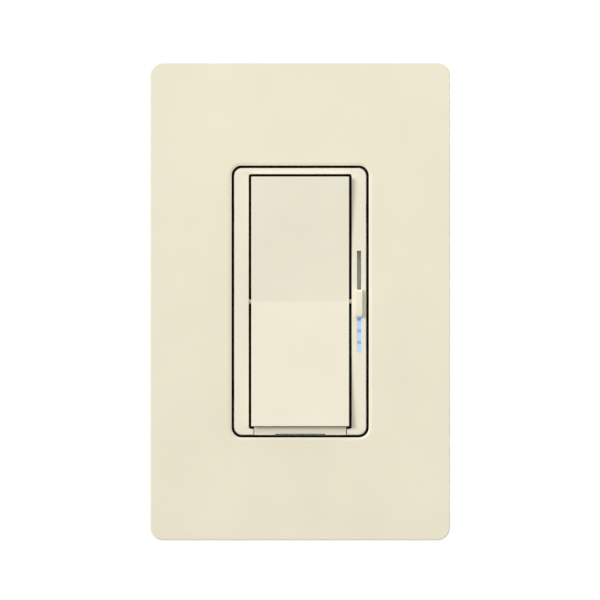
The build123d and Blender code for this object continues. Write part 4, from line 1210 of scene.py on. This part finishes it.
@dataclass
class ServiceTab:
    """Pull-out tab under the paddle, with a sloped front and a nail notch."""

    half_width: float = 11.45
    bottom: float = -33.25
    top: float = -31.2
    front: float = 7.35
    back: float = 3.6
    ramp: float = -0.3
    lip: float = 0.5
    edge: float = 0.05
    notch: Brick = Brick("notch", (-6.2, 6.2), (-34.25, -32.92), (3.35, 9.0))
    legs: Brick = Brick("leg", (6.5, 9.5), (-32.75, -32.05), (-6.0, 3.9), Mirror.LEFT_RIGHT)

    def build(self, wardrobe: Wardrobe) -> None:
        """Models the tab and finishes it."""
        x, z = both(self.half_width), (self.bottom, self.top)
        tab = block("air_gap_tab", x, z, (self.back, self.front))
        cross_cut(tab, (0, 0, self.bottom + self.lip), (0, 0, 1))
        sunk(tab, lambda p: p.z > self.top - NEAR and -p.y > self.front - NEAR, self.ramp)
        round_edges(tab, lambda a, b: min(-a.y, -b.y) > self.front - NEAR, self.edge, segments=1)
        combine(tab, laid(self.notch), Change.CUT)
        combine(tab, laid(self.legs), Change.JOIN)
        shade(tab, angle=20.0)
        wardrobe.dress(tab, "bezel_plastic", Body.TAB, "service_tab")


# Behind the wall: housing and machine screws


@dataclass
class BackHousing:
    """Moulded box behind the wall, with an alcove for each terminal and a blank label panel."""

    half_width: float = 20.72
    half_length: float = 34.9
    depth: float = 30.0
    corner: float = 3.0
    edge: float = 1.4
    draft: float = 0.25
    cavity: Brick = Brick("cavity", (-18.92, 18.92), (-33.1, 33.1), (-28.0, 1.0))
    panel: Place = (13.0, 20.0)
    panel_corner: float = 1.0
    panel_sink: float = 0.3
    gauge: Brick = Brick("gauge", (-17.9, -16.1), (-6.0, 6.0), (-31.0, -29.65), Mirror.LEFT_RIGHT)
    pin_mark: tuple[float, float, float] = (1.9, 16.2, 26.5)
    pin_sink: float = 0.15
    terminals: tuple[tuple[int, float], ...] = ((1, 14.0), (1, -14.0), (-1, -14.0))
    terminal_depth: float = 10.0
    alcove: Place = (5.0, 5.2)
    alcove_floor: float = 15.52
    alcove_flare: float = 0.5
    alcove_brink: float = 0.9
    alcove_mouth: float = 0.5
    block_wall: float = 1.5
    block_x: Place = (12.02, 19.12)
    screw_hole: float = 2.25
    screw_hole_ends: Place = (-2.6, 0.5)
    tail_half: float = 1.1
    tail_ends: Place = (-0.1, 1.1)
    boss: tuple[float, float, float] = (2.6, 17.02, 29.5)
    boss_hole: float = 1.32
    boss_depth: float = 12.0
    grooves: int = 9
    groove_pitch: float = 3.6

    def build(self, wardrobe: Wardrobe) -> None:
        """Models the housing and finishes it."""
        housing = self.shell()
        solids = [self.terminal_block(side, level) for side, level in self.terminals]
        tools = [tool for side, level in self.terminals for tool in self.alcove_tools(side, level)]
        radius, boss_x, boss_z = self.boss
        for x, z in product(both(boss_x), both(boss_z)):
            seat = (x, 0.0, z)
            solids.append(turned("boss", drum(radius, -self.boss_depth, 0), seat, Axis.ROOM, steps=24))
            bore = drum(self.boss_hole, 1 - self.boss_depth, 1)
            tools.append(turned("bore", bore, seat, Axis.ROOM, steps=20))
        combine(housing, solids, Change.JOIN)
        combine(housing, [*tools, *self.back_marks(), *laid(*self.end_grooves())], Change.CUT)
        shade(housing)
        wardrobe.dress(housing, "black_plastic", Body.DEVICE, "back_housing")

    def shell(self) -> Piece:
        """The hollow box with its rounded corners, before anything is cut in it."""
        x, z = both(self.half_width), both(self.half_length)
        shell = block("back_housing_shell", x, z, (-self.depth, 0.0))
        shrink = (1 - self.draft / self.half_width, 1, 1 - self.draft / self.half_length)
        scaled(shell, lambda p: p.y > self.depth - NEAR, shrink, (0, 0, 0))
        round_edges(shell, lambda a, b: abs(a.y - b.y) > 1, self.corner, segments=8)
        round_edges(shell, lambda a, b: min(a.y, b.y) > self.depth - NEAR, self.edge, segments=5)
        combine(shell, laid(self.cavity), Change.CUT)
        return shell

    def terminal_block(self, side: int, level: float) -> Piece:
        """Solid that closes the inside of one alcove."""
        reach, height = (half + self.block_wall for half in self.alcove)
        x = outwards(side, *self.block_x)
        return block("terminal_block", x, around(level, height), around(-self.terminal_depth, reach))

    def alcove_tools(self, side: int, level: float) -> Iterator[Piece]:
        """Cutters for one alcove: its flared mouth, the screw hole and the slot of the plate's tail."""
        reach, height = self.alcove
        depth = self.terminal_depth
        x = outwards(side, self.alcove_floor, self.half_width + self.alcove_mouth)
        recess = block("alcove", x, around(level, height), around(-depth, reach))
        cross_cut(recess, (side * (self.half_width - self.alcove_brink), 0, 0), (1, 0, 0))
        wider = [1 + self.alcove_flare / half for half in self.alcove]
        scaled(recess, lambda p: abs(p.x - x[1]) < NEAR, (1, *wider), (0, depth, level))
        yield recess
        floor = (side * self.alcove_floor, depth, level)
        bore = drum(self.screw_hole, *self.screw_hole_ends)
        yield turned("bore", bore, floor, Axis.outward(side), steps=28)
        tail = outwards(side, *(self.alcove_floor + end for end in self.tail_ends))
        foot = -depth - reach - self.block_wall - 1
        yield block("tail_slot", tail, around(level, self.tail_half), (foot, -depth))

    def back_marks(self) -> Iterator[Piece]:
        """Cutters for the blank panel, the wire gauges beside it and the round marks of the mould's pins."""
        beyond = -self.depth - 1
        panel = Ring(*self.panel, self.panel_corner, self.panel_sink - self.depth)
        yield lofted("panel", [panel, panel.at(beyond)], segments=5, cuts=(0, 0), between=[0], closed=False)
        yield from laid(self.gauge)
        radius, mark_x, mark_z = self.pin_mark
        disc = drum(radius, beyond, self.pin_sink - self.depth)
        for x, z in product(both(mark_x), both(mark_z)):
            yield turned("pin_mark", disc, (x, 0.0, z), Axis.ROOM, steps=32)

    def end_grooves(self) -> Iterator[Brick]:
        """Cutters for the shallow grooves in both end walls."""
        for number in range(self.grooves):
            x = around((number - (self.grooves - 1) / 2) * self.groove_pitch, 0.6)
            yield Brick("groove", x, (34.45, 35.9), (-24.0, -6.0), Mirror.UP_DOWN)


@dataclass(frozen=True)
class MachineScrew:
    """Pair of threaded screws, one at each end of the device, with its heads towards the room.

    Attributes:
        name: Name of the piece.
        node: CAD node that the pair stands for.
        level: Distance of each screw from the middle of the device.
        seat: Height of the surface that the head bears on.
        head: Outline of the head as (radius, height over the seat), from its foot to its crown.
        recess: Shape of the driver recess.
        length: Distance from the seat to the tip.
        neck: Radius of the plain neck and the height over the wall where it ends.
        radius: Radius over the thread.
        root: Radius at the thread's root.
        pitch: Distance between turns.
        steps: Facets round one turn of the thread.
        core: How far the core under the neck is inside the root, and how far it reaches down.
        taper: Length of the thread's tapered tip and of its run-out under the neck.
        margin: How far the cutter of the thread's ends reaches past them.
        slot: Half the width of a slot and its depth.
        cross: Half the length and half the width of an arm of a cross.
        cross_ends: Where an arm ends, below and above the crown.
        cross_floor: Share of its size that an arm keeps at its bottom.
    """

    name: str
    node: str
    level: float
    seat: float
    head: tuple[Place, ...]
    recess: Recess
    length: float
    neck: Place
    radius: float = 1.75
    root: float = 1.3
    pitch: float = 0.794
    steps: int = 20
    core: Place = (0.2, 0.8)
    taper: Place = (0.5, 0.45)
    margin: float = 0.1
    slot: Place = (0.45, 1.0)
    cross: Place = (1.7, 0.36)
    cross_ends: Place = (-1.3, 0.3)
    cross_floor: float = 0.35

    def build(self, wardrobe: Wardrobe) -> None:
        """Models both screws and finishes them as one piece."""
        place = (0.0, 0.0, self.level)
        tip = self.seat - self.length
        neck_radius, neck_end = self.neck
        core, foot = self.root - self.core[0], neck_end - self.core[1]
        profile = [(0, foot), (core, foot), (core, neck_end), (neck_radius, neck_end)]
        profile += [(neck_radius, self.seat)] if neck_radius < self.head[0][0] else []
        profile += [(radius, self.seat + height) for radius, height in self.head]
        screw = turned(self.name, [*profile, (0, self.crown)], place, Axis.ROOM)
        combine(screw, self.recess_tools(), Change.CUT)
        thread = self.thread(tip, neck_end)
        start, end, wide = tip - self.margin, neck_end + self.margin, self.radius + self.margin
        limit = [(0, start), (self.root, start), (wide, tip + self.taper[0])]
        limit += [(wide, neck_end - self.taper[1]), (self.root, end), (0, end)]
        combine(thread, [turned("limit", limit, place, Axis.ROOM)], Change.TRIM)
        combine(screw, [thread], Change.JOIN)
        shade(screw)
        pair = gather(self.name, [screw, self.twin(screw)])
        wardrobe.dress(pair, "zinc_steel", Body.DEVICE, self.node)

    @property
    def crown(self) -> float:
        """Height of the top of the head."""
        return self.seat + self.head[-1][1]

    def twin(self, screw: Piece) -> Piece:
        """Copies the finished screw to the other end of the device."""
        take_up(screw)
        bpy.ops.object.duplicate(linked=False)
        twin = named("twin")
        twin.location = (0.0, 0.0, -2 * self.level * MM)
        settle(twin)
        return twin

    def thread(self, start: float, end: float) -> Piece:
        """Winds the thread between two heights over the wall and closes its two ends flat."""
        crest = self.pitch / 8
        low = start - self.pitch
        middle = low + self.pitch / 2
        tooth = [(self.root, low), (self.root, low + crest), (self.radius, middle - crest / 2)]
        tooth += [(self.radius, middle + crest / 2), (self.root, low + self.pitch)]
        thread = outline("thread", [(radius, 0.0, level) for radius, level in tooth])
        take_up(thread)
        wind = thread.modifiers.new("wind", "SCREW")
        wind.axis = "Z"
        wind.screw_offset = self.pitch * MM
        wind.iterations = math.ceil((end - start) / self.pitch) + 2
        wind.steps = wind.render_steps = self.steps
        wind.use_merge_vertices = True
        wind.use_smooth_shade = False
        bpy.ops.object.modifier_apply(modifier=wind.name)
        with editing(thread):
            bpy.ops.mesh.remove_doubles(threshold=TINY)
            for level, normal in ((start, -1.0), (end, 1.0)):
                bpy.ops.mesh.select_all(action="SELECT")
                bpy.ops.mesh.bisect(
                    plane_co=(0.0, 0.0, level * MM),
                    plane_no=(0.0, 0.0, normal),
                    use_fill=True,
                    clear_outer=True,
                    threshold=TINY / 10,
                )
        thread.rotation_mode = "QUATERNION"
        thread.rotation_quaternion = Vector((0.0, 0.0, 1.0)).rotation_difference(Vector(Axis.ROOM.value))
        thread.location = (0.0, 0.0, self.level * MM)
        settle(thread)
        face_out(thread)
        return thread

    def recess_tools(self) -> Iterator[Piece]:
        """Cutters for the driver recess."""
        if self.recess is Recess.SLOT:
            reach = max(radius for radius, _ in self.head) + 1
            half, depth = self.slot
            yield block("slot", both(reach), around(self.level, half), (self.crown - depth, self.crown + 1))
            return
        floor, top = (self.crown + end for end in self.cross_ends)
        for half_x, half_z in (self.cross, self.cross[::-1]):
            arm = block("arm", both(half_x), around(self.level, half_z), (floor, top))
            narrow = (self.cross_floor, 1, self.cross_floor)
            scaled(arm, lambda p: -p.y < floor + NEAR, narrow, (0, 0, self.level))
            yield arm


BOX_RIM = ((3.0, 0.0), (3.2, 0.2), (3.2, 1.0))
BOX_DOME = ((3.06, 1.42), (2.7, 1.8), (2.1, 2.06), (1.3, 2.18), (0.6, 2.2))
COVER_HEAD = ((1.75, 0.0), (2.9, 1.15))
SCREWS = (
    MachineScrew(
        "box_screws", "mounting_screws", 41.64, 1.3, BOX_RIM + BOX_DOME, Recess.SLOT, 24.0, (1.5, -0.45)
    ),
    MachineScrew("cover_screws", "adapter_screws", 48.39, 1.95, COVER_HEAD, Recess.CROSS, 10.85, (1.75, 1.2)),
)


# Studio


@dataclass(frozen=True)
class Lamp:
    """A distant soft lamp: its name, the direction it stands in, its strength and width in degrees."""

    name: str
    stands: Point
    strength: float
    angle: float

    def build(self) -> None:
        """Adds the lamp, aimed at the device."""
        clear_selection()
        bpy.ops.object.light_add(type="SUN", location=[part * 2 for part in self.stands])
        lamp = bpy.context.active_object
        lamp.name = self.name
        lamp.data.energy = self.strength
        lamp.data.angle = math.radians(self.angle)
        lamp.rotation_mode = "QUATERNION"
        lamp.rotation_quaternion = Vector(self.stands).to_track_quat("Z", "Y")


@dataclass
class Studio:
    """Floor, lamps, backdrop and camera. The floor and the camera's sensor are in metres and millimetres."""

    floor_level: float = -0.10
    floor_front: float = 1.2
    floor_back: float = 0.6
    floor_pale: float = 0.97
    floor_dim: float = 0.15
    key: Lamp = Lamp("key_light", (-1.0, -1.0, 0.42), 1.92, 22.0)
    rear: Lamp = Lamp("rear_light", (0.5, 1.0, 0.12), 1.6, 60.0)
    sky_towards: Point = (0.0, -0.4, 0.917)
    sky_from: float = -0.2
    sky_high: float = 1.22
    lens: float = 1500.0
    sensor: float = 36.0
    view_width: float = 149.5
    subject_height: float = 7.6
    aim: Place = (-0.05, 0.37)
    sight: float = 40.0

    def build(self) -> None:
        """Sets the whole stage."""
        self.backdrop()
        self.floor()
        self.key.build()
        self.rear.build()
        self.camera()

    def backdrop(self) -> None:
        """White backdrop for the camera and for reflections, and a soft sky for the rest."""
        world = bpy.data.worlds.new("studio")
        bpy.context.scene.world = world
        world.use_nodes = True
        tree = world.node_tree
        tree.nodes.clear()
        place = add_node(tree, "ShaderNodeTexCoord", {}).outputs["Generated"]
        feeds = {0: place, 1: self.sky_towards}
        towards = add_node(tree, "ShaderNodeVectorMath", feeds, operation="DOT_PRODUCT").outputs["Value"]
        feeds = {"Value": towards, "From Min": self.sky_from, "To Max": self.sky_high}
        reach = add_node(tree, "ShaderNodeMapRange", feeds).outputs["Result"]
        white = {"Color": (1.0, 1.0, 1.0, 1.0)}
        ambient = add_node(tree, "ShaderNodeBackground", {**white, "Strength": reach})
        blank = add_node(tree, "ShaderNodeBackground", {**white, "Strength": 1.0})
        chosen = by_ray(tree, blank.outputs["Background"], ambient.outputs["Background"])
        add_node(tree, "ShaderNodeOutputWorld", {"Surface": chosen})

    def floor(self) -> None:
        """Plain pale floor that keeps the device's shadow."""
        clear_selection()
        bpy.ops.mesh.primitive_plane_add(size=2, location=(0, 0, self.floor_level))
        floor = named("floor")
        floor.scale = (self.floor_front, (self.floor_front + self.floor_back) / 2, 1)
        floor.location.y = (self.floor_back - self.floor_front) / 2
        settle(floor)
        material = bpy.data.materials.new("floor_finish")
        material.use_nodes = True
        tree = material.node_tree
        tree.nodes.clear()
        pale, dim = (
            add_node(tree, "ShaderNodeBsdfDiffuse", {"Color": (tone, tone, tone, 1.0)}).outputs["BSDF"]
            for tone in (self.floor_pale, self.floor_dim)
        )
        add_node(tree, "ShaderNodeOutputMaterial", {"Surface": by_ray(tree, pale, dim)})
        floor.data.materials.append(material)

    def camera(self) -> None:
        """Camera straight in front, far off, so that the view is nearly parallel."""
        clear_selection()
        distance = self.view_width * self.lens / self.sensor
        place = (self.aim[0] * MM, -(distance + self.subject_height) * MM, self.aim[1] * MM)
        bpy.ops.object.camera_add(location=place, rotation=(math.pi / 2, 0.0, 0.0))
        camera = bpy.context.active_object
        camera.name = "camera"
        camera.data.lens = self.lens
        camera.data.sensor_width = self.sensor
        camera.data.clip_end = self.sight
        bpy.context.scene.camera = camera


def by_ray(tree: Tree, seen: Socket, rest: Socket) -> Socket:
    """Gives camera, glossy and transmission rays one shader, and all others another.

    Args:
        tree: The node tree that both are in.
        seen: The shader for the rays that show a surface.
        rest: The shader for the others.

    Returns:
        The socket of the chosen shader.
    """
    path = add_node(tree, "ShaderNodeLightPath", {}).outputs
    shows = path["Is Camera Ray"]
    for name in ("Is Glossy Ray", "Is Transmission Ray"):
        either = add_node(tree, "ShaderNodeMath", {0: shows, 1: path[name]}, operation="MAXIMUM")
        shows = either.outputs["Value"]
    return add_node(tree, "ShaderNodeMixShader", {"Fac": shows, 1: rest, 2: seen}).outputs["Shader"]


def main() -> None:
    """Builds the stage and every piece."""
    logging.basicConfig(level=logging.INFO, format="%(message)s")
    clear_selection()
    bpy.ops.object.select_all(action="SELECT")
    bpy.ops.object.delete()
    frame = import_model()
    bpy.context.scene.view_settings.view_transform = "Standard"
    Studio().build()
    wardrobe = Wardrobe()
    wardrobe.dress_nodes(frame["nodes"])
    covers = (WallPlate(), AdapterPlate())
    fronts = (Bezel(), Paddle(), SlideControl(), ServiceTab())
    for assembly in (*covers, *fronts, BackHousing(), *SCREWS):
        assembly.build(wardrobe)


if __name__ == "__main__":
    main()
